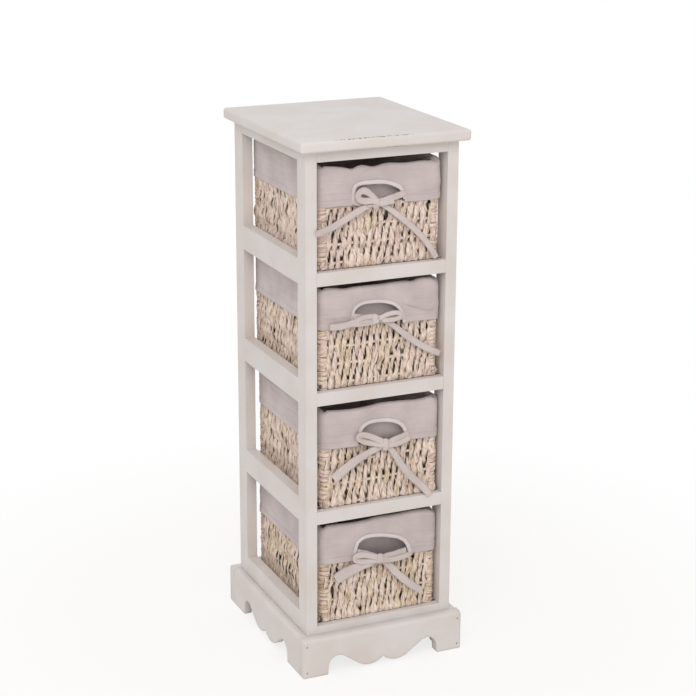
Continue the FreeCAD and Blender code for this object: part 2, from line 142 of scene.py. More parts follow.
def ringMesh(name, ringSets, caps=(True, True), marks=None):
    # Rings of points joined into skins that face outwards
    points, faces = [], []
    for rings in ringSets:
        first, count = len(points), len(rings[0])
        points += [point for ring in rings for point in ring]
        for row in range(len(rings) - 1):
            low = first + row * count
            for place in range(count):
                onward = (place + 1) % count
                faces.append((low + place, low + onward, low + count + onward, low + count + place))
        if caps[0]:
            faces.append(tuple(range(first + count - 1, first - 1, -1)))
        if caps[1]:
            faces.append(tuple(range(len(points) - count, len(points))))
    mesh = newMesh(name, points, faces, marks)
    work = bmesh.new()
    work.from_mesh(mesh)
    bmesh.ops.recalc_face_normals(work, faces=work.faces)
    work.to_mesh(mesh)
    work.free()
    return mesh


def joined(name, meshes):
    work = bmesh.new()
    for mesh in meshes:
        work.from_mesh(mesh)
        bpy.data.meshes.remove(mesh)
    whole = bpy.data.meshes.new(name)
    work.to_mesh(whole)
    work.free()
    return whole


def makePiece(name, mesh, material, body, slot, *nodes):
    mesh.materials.clear()
    mesh.materials.append(material)
    mesh.polygons.foreach_set("use_smooth", [True] * len(mesh.polygons))
    piece = addObject(name, mesh)
    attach(piece, body)
    if nodes:
        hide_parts(*nodes)
    return piece


def pathCurve(name, runs, kind="POLY", closed=False):
    curve = bpy.data.curves.new(name, "CURVE")
    curve.dimensions = "3D"
    for points in runs:
        spline = curve.splines.new(kind)
        spline.points.add(len(points) - 1)
        spline.points.foreach_set("co", [v for point in points for v in (*point, 1)])
        if kind == "NURBS":
            spline.order_u = 3
            spline.use_endpoint_u = True
            spline.resolution_u = 8
        spline.use_cyclic_u = closed
    return addObject(name, curve)


def smoothLine(points):
    # Points read from a NURBS spline through a route's control points
    holder = pathCurve("route", [points], "NURBS")
    mesh = bpy.data.meshes.new_from_object(holder)
    line = [vertex.co.copy() for vertex in mesh.vertices]
    curve = holder.data
    bpy.data.objects.remove(holder)
    bpy.data.curves.remove(curve)
    bpy.data.meshes.remove(mesh)
    return line


# Camera, at the place and angle that the photograph was taken from

cameraView = {
    "position": (-1.2033, -2.6969, 1.4313),
    "azimuth": -24.21,
    "elevation": 17.344,
    "roll": 0.226,
    "lens": 94.87,
    "sensor": 36,
}


def addCamera():
    azimuth, elevation, roll = [math.radians(cameraView[k]) for k in ("azimuth", "elevation", "roll")]
    level = math.cos(elevation)
    back = Vector((math.sin(azimuth) * level, -math.cos(azimuth) * level, math.sin(elevation)))
    right = Vector((0, 0, 1)).cross(back).normalized()
    up = back.cross(right)
    across = right * math.cos(roll) + up * math.sin(roll)
    over = up * math.cos(roll) - right * math.sin(roll)
    lens = bpy.data.cameras.new("camera")
    lens.lens = cameraView["lens"]
    lens.sensor_width = cameraView["sensor"]
    lens.sensor_fit = "HORIZONTAL"
    camera = addObject("camera", lens)
    turned = Matrix((across, over, back)).transposed().to_4x4()
    camera.matrix_world = Matrix.Translation(cameraView["position"]) @ turned
    bpy.context.scene.camera = camera


addCamera()
print("camera placed")


# Painted pine: semi-matt white paint brushed over planed softwood. The eye gets a slightly warm white
# with faint streaks along the grain, soft cloudy patches and thin bare spots where arrises are rubbed.

paintLook = {
    "paint": "#dad6d4",
    "warmPaint": "#d5cec9",
    "thinPaint": "#cfc4bc",
    "bareWood": "#7d6a5b",
    "streakAcross": 2.6 * mm,   # brush marks are finer and are drawn this coarse to show
    "streakAlong": 80 * mm,
    "patch": 70 * mm,
    "cloudy": (0.35, 0.62),              # patches from warm paint to plain
    "thin": (0.56, 0.8, 0, 0.25),        # streaks, and how thin the paint is there
    "chip": 4.5 * mm,
    "rubbed": 0.115,                     # how much likelier a chip is beside an edge
    "chipped": (0.775, 0.835, 0, 0.7),   # that chance, and how bare the wood is there
    "torn": (0.44, 0.62),                # how ragged a line of chips is
    "chipDeep": -1.5,
    "roughness": (0.4, 0.56),
}


def paintedPine(name, grain, chipLine=None):
    look = paintLook
    material, add = newMaterial(name)
    place = add("TexCoord").outputs["Object"]
    stretch = [1 / look["streakAcross"]] * 3
    stretch[grain] = 1 / look["streakAlong"]
    drawn = add("Mapping", {"Vector": place, "Scale": stretch})
    streaks = add("TexNoise", {"Vector": drawn, "Scale": 1, "Detail": 3, "Roughness": 0.6})
    patches = add("TexNoise", {"Vector": place, "Scale": 1 / look["patch"], "Detail": 3})
    cloud = add("ValToRGB", [patches], zip(look["cloudy"], (look["warmPaint"], look["paint"])))
    thin = add("MapRange", [streaks, *look["thin"]])
    coat = add("Mix", {0: thin, 6: cloud, 7: linear(look["thinPaint"])}, data_type="RGBA")
    specks = add("TexNoise", {"Vector": place, "Scale": 1 / look["chip"], "Detail": 5, "Roughness": 0.7})
    wear = add("Attribute", attribute_name="wear").outputs["Fac"]
    chance = add("Math", [wear, look["rubbed"], specks], operation="MULTIPLY_ADD")
    bare = add("MapRange", [chance, *look["chipped"]])
    if chipLine:
        # A broken line of chips along one arris
        axes = add("SeparateXYZ", [place]).outputs
        off = {}
        for axis in ("X", "Y"):
            away = add("Math", [axes[axis], chipLine[axis]], operation="SUBTRACT")
            off[axis] = add("Math", [away], operation="ABSOLUTE")
        ends = add("MapRange", [off["X"], chipLine["half"] * 0.75, chipLine["half"], 1, 0])
        torn = add("MapRange", [specks, *look["torn"], 0, chipLine["wide"]])
        reach = add("Math", [torn, ends], operation="MULTIPLY")
        line = add("Math", [off["Y"], reach], operation="LESS_THAN")
        bare = add("Math", [line, bare], operation="MAXIMUM")
    colour = add("Mix", {0: bare, 6: coat.outputs[2], 7: linear(look["bareWood"])}, data_type="RGBA")
    rough = add("MapRange", [patches, 0, 1, *look["roughness"]])
    relief = add("Math", [bare, look["chipDeep"], streaks], operation="MULTIPLY_ADD")
    bump = add("Bump", {"Height": relief, "Strength": 0.22, "Distance": 0.4 * mm})
    endMaterial(add, {"Base Color": colour.outputs[2], "Roughness": rough, "Normal": bump})
    return material


paintUpright = paintedPine("painted pine, grain upright", 2)
paintAcross = paintedPine("painted pine, grain across", 0)
paintDeep = paintedPine("painted pine, grain front to back", 1)


# Beech dowels: pale turned hardwood with short dark flecks

beechLook = {"fleck": 1.5 * mm, "tones": [(0.35, "#b48a5f"), (0.6, "#d3b088")], "roughness": 0.6}


def turnedBeech():
    material, add = newMaterial("turned beech")
    place = add("TexCoord").outputs["Object"]
    flecks = add("TexNoise", {"Vector": place, "Scale": 1 / beechLook["fleck"], "Detail": 4})
    colour = add("ValToRGB", [flecks], beechLook["tones"])
    bump = add("Bump", {"Height": flecks, "Strength": 0.2, "Distance": 0.2 * mm})
    endMaterial(add, {"Base Color": colour, "Normal": bump, "Roughness": beechLook["roughness"]})
    return material


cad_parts["dowels"].data.materials.clear()
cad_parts["dowels"].data.materials.append(turnedBeech())


# Woven cotton: the liners' plain cloth, and bleached tape a little lighter than it. The eye gets a dull pale
# mauve with slubs along the threads, darker stitches where it is sewn and painted shade along tape edges.

cottonLook = {
    "liner": ("#b9aead", "#c9bfbe"),   # darker and lighter tone
    "tape": ("#c2b6b2", "#d1c6c3"),
    "binding": ("#cec6c7", "#dcd5d6"),
    # colour of the hem's stitches, and of the painted shade along a tape's edges
    "stitchAndEdgeShade": "#857a78",
    "thread": 1.5 * mm,                # threads are 0.5 mm apart and are drawn this coarse to show
    "slubLong": 28 * mm,
    "slubShare": 0.55,
    "patch": 45 * mm,
    "tones": (0.55, 0.95),             # from the darker tone to the lighter
    "threadHigh": 0.3,
    "edgeShade": (0.7, 1, 0, 0.42),     # across a tape, and how dark the painted shade along its edges is
    "hemHalf": 0.5 * mm,
    "hemStitch": 3.4 * mm,
    "sewn": (-0.6, -0.2, 0.1, 0.34),   # along a stitch, and how dark the thread is
    "roughness": 0.9,
}


def wovenCotton(name, kind):
    look = cottonLook
    material, add = newMaterial(name)
    run, drop, edge, hem = [add("Attribute", attribute_name=mark).outputs["Fac"]
                            for mark in ("run", "drop", "edge", "hem")]
    flat = add("CombineXYZ", [run, drop])
    slubScale = [1 / look["slubLong"], 1 / look["thread"], 1]
    drawn = add("Mapping", {"Vector": flat, "Scale": slubScale})
    slubs = add("TexNoise", {"Vector": drawn, "Scale": 1, "Detail": 3, "Roughness": 0.6})
    place = add("TexCoord").outputs["Object"]
    patches = add("TexNoise", {"Vector": place, "Scale": 1 / look["patch"], "Detail": 2})
    tone = add("Math", [slubs, look["slubShare"], patches], operation="MULTIPLY_ADD")
    colour = add("ValToRGB", [tone], zip(look["tones"], look[kind]))
    waves = []
    for mark, spacing in ((drop, look["thread"]), (run, look["thread"]), (run, look["hemStitch"])):
        turn = add("Math", [mark, 2 * math.pi / spacing], operation="MULTIPLY")
        waves.append(add("Math", [turn], operation="SINE"))
    weft, warp, beat = waves
    cross = add("Math", [weft, warp], operation="MULTIPLY")
    height = add("Math", [cross, look["threadHigh"], slubs], operation="MULTIPLY_ADD")
    bump = add("Bump", {"Height": height, "Strength": 0.35, "Distance": 0.35 * mm})
    # Painted shade along a tape's edges, and stitches along the hem
    shadedEdge = add("MapRange", [edge, *look["edgeShade"]])
    seam = add("Math", [hem, 1, look["hemHalf"]], operation="COMPARE")
    sewn = add("MapRange", [beat, *look["sewn"]])
    marked = add("Math", [seam, sewn, shadedEdge], operation="MULTIPLY_ADD")
    finished = add("Mix", {0: marked, 6: colour, 7: linear(look["stitchAndEdgeShade"])}, data_type="RGBA")
    endMaterial(add, {"Base Color": finished.outputs[2], "Normal": bump, "Roughness": look["roughness"],
                      "Specular IOR Level": 0.2, "Sheen Weight": 0.45})
    return material


linerCotton = wovenCotton("plain-woven cotton", "liner")
tapeCotton = wovenCotton("woven cotton tape", "tape")
bindingCotton = wovenCotton("bleached cotton tape", "binding")


# Tie tapes. Each is sewn on at a foot of the notch, crosses the other at the knot and hangs down over
# the weave. Points are across from the shelf's middle, forward of the basket's front and up from the
# liner's rim, in metres, and begin at the foot.

tapeShape = {
    "left": {"bottom": 13 * mm, "lower": 12.5 * mm, "upper": 11 * mm, "top": 10 * mm},   # widths
    "right": {"bottom": 14.5 * mm, "lower": 13.5 * mm, "upper": 11 * mm, "top": 11 * mm},
    "flare": {"bottom": 1.4, "lower": 1.25, "upper": 1, "top": 1},   # of the right tape's free end
    "thick": 0.8 * mm, "cup": 0.2 * mm, "crumple": 0.75 * mm,
    "turn": 0.35, "turnPace": 3.2, "leanBack": 0.1,                  # radians, and turns along the tape
    "knotAt": 0.4, "gatherReach": 0.2,                               # shares of the length
    "gathered": 0.8, "endWide": 0.85,                                # shares of the width
}

tieRoutes = {
    "top": {
        "left": [(-0.0493, 0.0032, -0.058), (-0.0390, 0.0038, -0.062), (-0.0250, 0.0050, -0.0635),
                 (-0.0090, 0.0062, -0.063), (0.0058, 0.0058, -0.070), (0.0262, 0.0054, -0.085),
                 (0.0478, 0.0052, -0.103), (0.0690, 0.0054, -0.123), (0.0850, 0.0060, -0.1425),
                 (0.0970, 0.0070, -0.163)],
        "right": [(0.0413, 0.0032, -0.053), (0.0262, 0.0046, -0.056), (0.0100, 0.0066, -0.0597),
                  (-0.0090, 0.0080, -0.0625), (-0.0246, 0.0076, -0.067), (-0.0412, 0.0072, -0.0735),
                  (-0.0578, 0.0082, -0.0815), (-0.0770, 0.0098, -0.0910), (-0.0955, 0.0120, -0.0975),
                  (-0.1165, 0.0145, -0.1025)],
    },
    "upper": {
        "left": [(-0.0473, 0.0032, -0.0480), (-0.0290, 0.0045, -0.0525), (-0.0060, 0.0062, -0.0550),
                 (0.0118, 0.0062, -0.0618), (0.0286, 0.0056, -0.0752), (0.0475, 0.0052, -0.0910),
                 (0.0687, 0.0052, -0.1068), (0.0888, 0.0058, -0.1192), (0.1065, 0.0066, -0.1272)],
        "right": [(0.0432, 0.0032, -0.0570), (0.0280, 0.0046, -0.0572), (0.0110, 0.0066, -0.0565),
                  (-0.0060, 0.0080, -0.0555), (-0.0229, 0.0078, -0.0540), (-0.0398, 0.0072, -0.0552),
                  (-0.0567, 0.0070, -0.0590), (-0.0737, 0.0070, -0.0610), (-0.0896, 0.0072, -0.0600)],
    },
    "lower": {
        "left": [(-0.0373, 0.0032, -0.0480), (-0.0212, 0.0045, -0.0541), (-0.0051, 0.0058, -0.0606),
                 (0.0100, 0.0064, -0.0670), (0.0209, 0.0062, -0.0775), (0.0299, 0.0058, -0.0918),
                 (0.0408, 0.0054, -0.1100), (0.0548, 0.0054, -0.1282), (0.0717, 0.0070, -0.1450),
                 (0.0826, 0.0100, -0.1560), (0.0905, 0.0128, -0.1680)],
        "right": [(0.0533, 0.0032, -0.0570), (0.0411, 0.0046, -0.0600), (0.0268, 0.0066, -0.0635),
                  (0.0100, 0.0080, -0.0672), (-0.0045, 0.0076, -0.0718), (-0.0212, 0.0070, -0.0775),
                  (-0.0402, 0.0066, -0.0861), (-0.0547, 0.0064, -0.0947), (-0.0704, 0.0064, -0.1052),
                  (-0.0826, 0.0066, -0.1148)],
    },
    "bottom": {
        "left": [(-0.0383, 0.0032, -0.049), (-0.0253, 0.0045, -0.0540), (-0.0117, 0.0058, -0.0592),
                 (0.0020, 0.0064, -0.0650), (0.0156, 0.0062, -0.0762), (0.0302, 0.0056, -0.0934),
                 (0.0469, 0.0052, -0.1117), (0.0647, 0.0052, -0.1269), (0.0793, 0.0056, -0.1381)],
        "right": [(0.0523, 0.0032, -0.062), (0.0382, 0.0046, -0.0628), (0.0211, 0.0066, -0.0638),
                  (0.0020, 0.0080, -0.0650), (-0.0140, 0.0076, -0.0680), (-0.0299, 0.0070, -0.0721),
                  (-0.0469, 0.0066, -0.0762), (-0.0650, 0.0064, -0.0823), (-0.0788, 0.0066, -0.0894)],
    },
}

ribbonShape = {
    "across": (-1, -0.72, 0, 0.72, 1), "thinEdge": 0.35,
    "uneven": 0.12, "unevenLong": 11 * mm, "crumpleLong": 9 * mm, "crumpleWide": 0.9,
}


def ribbonRings(line, width, thick, cup, crumple, seed, facing, taper=lambda share: 1):
    # Rings of a flat tape along a line. facing gives the way its face looks at each point, and taper
    # its share of the width.
    shape = ribbonShape
    rings, marks, travelled = [], {"run": [], "drop": [], "edge": []}, 0
    for number, point in enumerate(line):
        share = number / (len(line) - 1)
        before, after = line[max(number - 1, 0)], line[min(number + 1, len(line) - 1)]
        travelled += (point - before).length
        tangent = (after - before).normalized()
        face = facing(share, point)
        face = (face - tangent * face.dot(tangent)).normalized()
        across = tangent.cross(face)
        half = width / 2 * taper(share)
        half *= 1 + shape["uneven"] * noise.noise(Vector((travelled / shape["unevenLong"], seed, 3.1)))
        ring = []
        for layer, order in ((1, shape["across"]), (-1, shape["across"][::-1])):
            for place in order:
                spot = Vector((travelled / shape["crumpleLong"], place * shape["crumpleWide"], seed))
                skin = layer * thick / 2 * (1 - shape["thinEdge"] * place * place)
                lift = cup * (1 - place * place) + crumple * noise.noise(spot) + skin
                ring.append(point + across * half * place + face * lift)
                marks["run"].append(travelled)
                marks["drop"].append(half * place)
                marks["edge"].append(abs(place))
        rings.append(ring)
    return rings, marks


def tapePiece(node, bay, ringSets, marks, material):
    mesh = ringMesh(node + "_tape", ringSets, marks=marks)
    mesh.set_sharp_from_angle(angle=math.radians(50))   # keeps the cut edges crisp
    return makePiece(node + "_tape", mesh, material, "basket_" + bay, "tie_tape", node)


def frontLine(bay, route):
    # A smooth line over a basket's front
    front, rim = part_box(f"basket_{bay}_weave")[0].y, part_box(f"basket_{bay}_liner")[1].z
    return smoothLine([(x, front - forward, rim + up) for x, forward, up in route])


def addTie(bay, side):
    shape = tapeShape
    line = frontLine(bay, tieRoutes[bay][side])
    seed = 10 * bays.index(bay) + (3 if side == "left" else 6)

    def facing(share, point):
        turn = shape["turn"] * noise.noise(Vector((share * shape["turnPace"], seed, 0.7))) + shape["leanBack"]
        return Vector((0, -math.cos(turn), math.sin(turn)))

    def taper(share):
        # Gathered at the knot, opening towards the free end and drawn in where it is cut
        end = shape["endWide"] + (1 - shape["endWide"]) * min(1, (1 - share) * 40)
        apart = min(1, abs(share - shape["knotAt"]) / shape["gatherReach"])
        opened = (shape["flare"][bay] - 1) * max(0, 2 * share - 1) if side == "right" else 0
        return end * (shape["gathered"] + (1 - shape["gathered"]) * apart) * (1 + opened)

    width = shape[side][bay]
    rings, marks = ribbonRings(
        line, width, shape["thick"], shape["cup"], shape["crumple"], seed, facing, taper)
    piece = tapePiece(f"basket_{bay}_tie_{side}", bay, [rings], marks, tapeCotton)


# Knots: one turn of tape wrapped over the crossing, with two pinched folds, a small flat loop of tape on
# its left and a loop or a fold on its right

knotShape = {
    "turnHigh": {"bottom": 16 * mm, "lower": 19 * mm, "upper": 14 * mm, "top": 15 * mm},
    "turnDeep": 5.2 * mm, "turnWide": 11.5 * mm, "turnSteps": 24, "forward": 7.2 * mm, "lean": 0.16,
    "foldWide": 7 * mm, "foldRun": 9 * mm, "foldOut": 1.2 * mm, "foldWobble": 0.8 * mm, "wobblePace": 900,
    "foldDrop": {-1: -2.5 * mm, 1: -1 * mm},   # left and right, over a fold's run
    "loopWide": {"top": 10.5 * mm, "upper": 8.5 * mm, "lower": 10 * mm, "bottom": 10 * mm},
    "thick": 1.3 * mm, "cup": 0.6 * mm, "crumple": {"turn": 0.6 * mm, "fold": 1.1 * mm, "loop": 0.9 * mm},
}

knotLoops = {
    "top": [(-0.0095, 0.0085, -0.0615), (-0.0160, 0.0082, -0.0540), (-0.0240, 0.0076, -0.0455),
            (-0.0325, 0.0070, -0.0412), (-0.0405, 0.0068, -0.0445), (-0.0425, 0.0070, -0.0515),
            (-0.0375, 0.0076, -0.0575), (-0.0290, 0.0086, -0.0588), (-0.0190, 0.0094, -0.0585),
            (-0.0100, 0.0098, -0.0610)],
    "upper": [(-0.0060, 0.0085, -0.0530), (-0.0180, 0.0082, -0.0490), (-0.0320, 0.0074, -0.0505),
              (-0.0460, 0.0066, -0.0550), (-0.0500, 0.0064, -0.0600), (-0.0360, 0.0074, -0.0610),
              (-0.0190, 0.0088, -0.0590), (-0.0060, 0.0096, -0.0570)],
    "lower": [(0.0100, 0.0085, -0.0650), (-0.0050, 0.0080, -0.0560), (-0.0210, 0.0074, -0.0480),
              (-0.0350, 0.0064, -0.0440), (-0.0400, 0.0062, -0.0495), (-0.0320, 0.0066, -0.0560),
              (-0.0160, 0.0080, -0.0615), (0.0080, 0.0094, -0.0670)],
    "bottom": [(0.0020, 0.0085, -0.0640), (-0.0140, 0.0080, -0.0575), (-0.0310, 0.0074, -0.0525),
               (-0.0430, 0.0064, -0.0535), (-0.0440, 0.0062, -0.0610), (-0.0310, 0.0066, -0.0655),
               (-0.0150, 0.0080, -0.0665), (0.0020, 0.0094, -0.0655)],
}

knotFolds = {
    "top": [(-0.0060, 0.0088, -0.0640), (0.0080, 0.0078, -0.0650), (0.0200, 0.0062, -0.0620)],
    "upper": [(-0.0040, 0.0092, -0.0540), (0.0080, 0.0094, -0.0490), (0.0220, 0.0088, -0.0475),
              (0.0330, 0.0076, -0.0500), (0.0350, 0.0078, -0.0570), (0.0180, 0.0092, -0.0600),
              (0.0000, 0.0098, -0.0570)],
    "lower": [(0.0120, 0.0088, -0.0690), (0.0270, 0.0084, -0.0695), (0.0420, 0.0070, -0.0670),
              (0.0540, 0.0052, -0.0630)],
    "bottom": [(0.0050, 0.0088, -0.0680), (0.0220, 0.0086, -0.0705), (0.0400, 0.0074, -0.0700),
               (0.0570, 0.0052, -0.0680)],
}


def addKnot(bay):
    shape = knotShape
    lead, trail = [frontLine(bay, tieRoutes[bay][side]) for side in ("left", "right")]
    pairs = [(one, other) for one in lead for other in trail]
    one, other = min(pairs, key=lambda pair: (pair[0] - pair[1]).xz.length)
    centre = (one + other) / 2
    centre.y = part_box(f"basket_{bay}_weave")[0].y - shape["forward"]
    seed = 40 + bays.index(bay)
    lean = shape["lean"] * noise.noise(Vector((seed, 1.3, 0)))
    ringSets, marks = [], {"run": [], "drop": [], "edge": []}

    def addRibbon(kind, line, width, facing, *taper):
        rings, more = ribbonRings(
            line, width, shape["thick"], shape["cup"], shape["crumple"][kind], seed, facing, *taper)
        ringSets.append(rings)
        for key in marks:
            marks[key] += more[key]

    def radial(share, point):
        return Vector((0, (point.y - centre.y) * 3, point.z - centre.z)).normalized()

    turn = []
    for step in range(shape["turnSteps"] + 1):
        angle = 2 * math.pi * step / shape["turnSteps"]
        high = shape["turnHigh"][bay] / 2 * math.cos(angle)
        turn.append(centre + Vector((lean * high, -shape["turnDeep"] / 2 * math.sin(angle), high)))
    addRibbon("turn", turn, shape["turnWide"], radial,
              lambda share: 0.66 + 0.34 * math.sin(math.pi * ((2 * share) % 1)))
    for sign, drop in shape["foldDrop"].items():
        # Pinched folds where the tapes leave the turn
        fold = []
        for reach in (2 * mm, 6 * mm, 10 * mm, 14 * mm):
            wobble = shape["foldWobble"] * math.sin(reach * shape["wobblePace"])
            down = drop * reach / shape["foldRun"] + wobble
            fold.append(centre + Vector((sign * reach, -shape["foldOut"], down)))
        addRibbon("fold", fold, shape["foldWide"], lambda share, point: Vector((0, -0.9, 0.45)),
                  lambda share: 1.05 - 0.55 * share)
    wide = shape["loopWide"][bay]
    for route, width in ((knotLoops[bay], wide), (knotFolds[bay], 0.9 * wide)):
        addRibbon("loop", frontLine(bay, route), width, lambda share, point: Vector((0.1, -1, 0.25)))
    return tapePiece(f"basket_{bay}_knot", bay, ringSets, marks, tapeCotton)


for bay in bays:
    knot = addKnot(bay)
    addTie(bay, "left")
    addTie(bay, "right")
print("ties and knots made")


# Boards: planed square with eased arrises

boardShape = {"ease": 0.6 * mm, "rubbed": 5 * mm, "panelEase": 0.5 * mm}


def easedBoard(name, low, high, ease):
    # A box whose edges are rounded over, with a strip beside each edge that can wear
    lines = []
    for start, end in zip(low, high):
        strip = 2 * ease + 0.5 * min(boardShape["rubbed"], 0.4 * (end - start))
        lines.append([start, start + ease, start + 2 * ease, start + strip,
                      end - strip, end - 2 * ease, end - ease, end])
    last = len(lines[0]) - 1
    places, points, wear, faces = {}, [], [], []

    def corner(key):
        if key not in places:
            point = Vector(lines[axis][key[axis]] for axis in range(3))
            inner = Vector(min(max(point[axis], low[axis] + ease), high[axis] - ease) for axis in range(3))
            places[key] = len(points)
            points.append(inner + (point - inner).normalized() * ease)
            wear.append(1.0 if sum(min(step, last - step) <= 2 for step in key) > 1 else 0.0)
        return places[key]

    for axis in range(3):
        second, third = (axis + 1) % 3, (axis + 2) % 3
        for end in (0, last):
            for a in range(last):
                for b in range(last):
                    face = []
                    for u, v in ((a, b), (a + 1, b), (a + 1, b + 1), (a, b + 1)):
                        key = [0, 0, 0]
                        key[axis], key[second], key[third] = end, u, v
                        face.append(corner(tuple(key)))
                    faces.append(face if end else face[::-1])
    return newMesh(name, points, faces, {"wear": wear})


def addBoard(node, material, slot="painted_wood", ease=boardShape["ease"]):
    low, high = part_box(node)
    makePiece(node + "_board", easedBoard(node + "_board", low, high, ease), material, "shelf", slot, node)


for front in ("front", "back"):
    for side in ("left", "right"):
        addBoard(f"{front}_{side}_post", paintUpright)
grains = {"front": paintAcross, "back": paintAcross, "left": paintDeep, "right": paintDeep}
for level in ("rail_bottom", "rail_lower", "rail_upper", "rail_top", "head_rail"):
    for face, material in grains.items():
        addBoard(f"{face}_{level}", material)
for bay in bays:
    addBoard(f"shelf_panel_{bay}", paintAcross, "painted_panel", boardShape["panelEase"])
print("boards made")


# Top board with rounded corners, a rounded nose and a line of chips along its front edge

topShape = {
    "corner": 5 * mm, "cornerSteps": 6, "tightest": 0.4 * mm, "spacing": 20 * mm,
    "nose": 4.5 * mm, "noseSteps": 5, "arris": 1 * mm, "rubbed": 5 * mm,
    "chipIn": 3.2 * mm, "chipMiddle": -24 * mm, "chipHalf": 70 * mm, "chipWide": 1.8 * mm,
}


def roundedOutline(halfX, halfY, radius, cornerSteps, spacing):
    # Points round a rectangle with rounded corners, anticlockwise from the back right corner, each with
    # its outward direction and its run from the start. spacing is for the back, left, front and right.
    outline = []
    for number, (signX, signY) in enumerate(((1, 1), (-1, 1), (-1, -1), (1, -1))):
        centre = Vector((signX * (halfX - radius), signY * (halfY - radius)))
        for step in range(cornerSteps + 1):
            angle = math.pi / 2 * (number + step / cornerSteps)
            outward = Vector((math.cos(angle), math.sin(angle)))
            outline.append((centre + outward * radius, outward))
        length = 2 * ((halfX if number % 2 == 0 else halfY) - radius)
        count = max(int(length / spacing[number]), 1)
        onward = Vector((-outward.y, outward.x))
        start = centre + outward * radius
        outline += [(start + onward * length * step / count, outward) for step in range(1, count)]
    run, walked = 0, []
    for number, (point, outward) in enumerate(outline):
        run += (point - outline[number - 1][0]).length if number else 0
        walked.append((point, outward, run))
    return walked


def addTopBoard():
    shape = topShape
    low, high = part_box("top_board")
    middle, half = (low + high) / 2, (high - low) / 2
    nose, arris, rub = shape["nose"], shape["nose"] + shape["arris"], shape["nose"] + shape["rubbed"]
    turns = [math.pi / 2 * step / shape["noseSteps"] for step in range(shape["noseSteps"] + 1)]
    # Inset, height and wear, from under the board to its top
    profile = [(rub, low.z, 0), (arris, low.z, 1)]
    profile += [(nose * (1 - math.sin(turn)), low.z + nose * (1 - math.cos(turn)), 1) for turn in turns]
    profile += [(nose * (1 - math.cos(turn)), high.z - nose * (1 - math.sin(turn)), 1) for turn in turns]
    profile += [(arris, high.z, 1), (rub, high.z, 0)]
    outline = roundedOutline(half.x, half.y, shape["corner"], shape["cornerSteps"], (shape["spacing"],) * 4)
    rings, wear = [], []
    for inset, height, worn in profile:
        shrink = Vector(((half.x - inset) / half.x, (half.y - inset) / half.y))
        ring = []
        for point, outward, run in outline:
            pulled = inset <= shape["corner"] - shape["tightest"]
            tight = point - outward * inset if pulled else point * shrink
            ring.append(Vector((middle.x + tight.x, middle.y + tight.y, height)))
        rings.append(ring)
        wear += [worn] * len(ring)
    mesh = ringMesh("top_board_nosed", [rings], marks={"wear": wear})
    chipLine = {"X": shape["chipMiddle"], "Y": low.y + shape["chipIn"], "half": shape["chipHalf"],
                "wide": shape["chipWide"]}
    paint = paintedPine("painted pine, top board", 0, chipLine)
    makePiece("top_board_nosed", mesh, paint, "shelf", "painted_wood", "top_board")


addTopBoard()


# Plinth boards: sawn with two lobes and an arch beside each foot, and rounded over along the top

plinthShape = {
    "lobeOffset": 25 * mm, "lobeRadius": 36 * mm, "lobeLow": 4 * mm, "lobeSteps": 14,
    "slopeRun": 26 * mm, "slopeRise": 18.2 * mm, "archRadius": 18 * mm, "archSteps": 12,
    "footLean": 1.6 * mm, "footEase": (0.3 * mm, 1.2 * mm), "footEnd": 0.5 * mm, "endStrip": 8 * mm,
    "arris": 0.9 * mm, "topRound": 6.5 * mm, "roundSteps": 4, "rubbed": 4 * mm, "rubbedTop": 2 * mm,
}


def scallopHeights():
    # Height of the sawn edge at places along half of the board, from the middle to the foot
    shape = plinthShape
    lobe = Vector((shape["lobeOffset"], shape["lobeLow"] + shape["lobeRadius"]))
    outward = Vector((shape["slopeRise"], -shape["slopeRun"])).normalized()
    leave = lobe + outward * shape["lobeRadius"]
    meet = leave + Vector((shape["slopeRun"], shape["slopeRise"]))
    arch = meet + outward * shape["archRadius"]
    heights = []
    for step in range(shape["lobeSteps"] + 1):
        along = leave.x * step / shape["lobeSteps"]
        heights.append((along, lobe.y - math.sqrt(shape["lobeRadius"] ** 2 - (along - lobe.x) ** 2)))
    heights += [(leave.x + (meet.x - leave.x) * share, leave.y + (meet.y - leave.y) * share)
                for share in (0.33, 0.67)]
    rise = math.atan2(meet.y - arch.y, meet.x - arch.x)
    for step in range(shape["archSteps"] + 1):
        angle = rise * (1 - step / shape["archSteps"])
        heights.append((arch.x + shape["archRadius"] * math.cos(angle),
                        arch.y + shape["archRadius"] * math.sin(angle)))
    foot = arch.x + shape["archRadius"] + shape["footLean"]
    back, up = shape["footEase"]
    return heights + [(foot - back, up), (foot + shape["footEnd"], 0)]


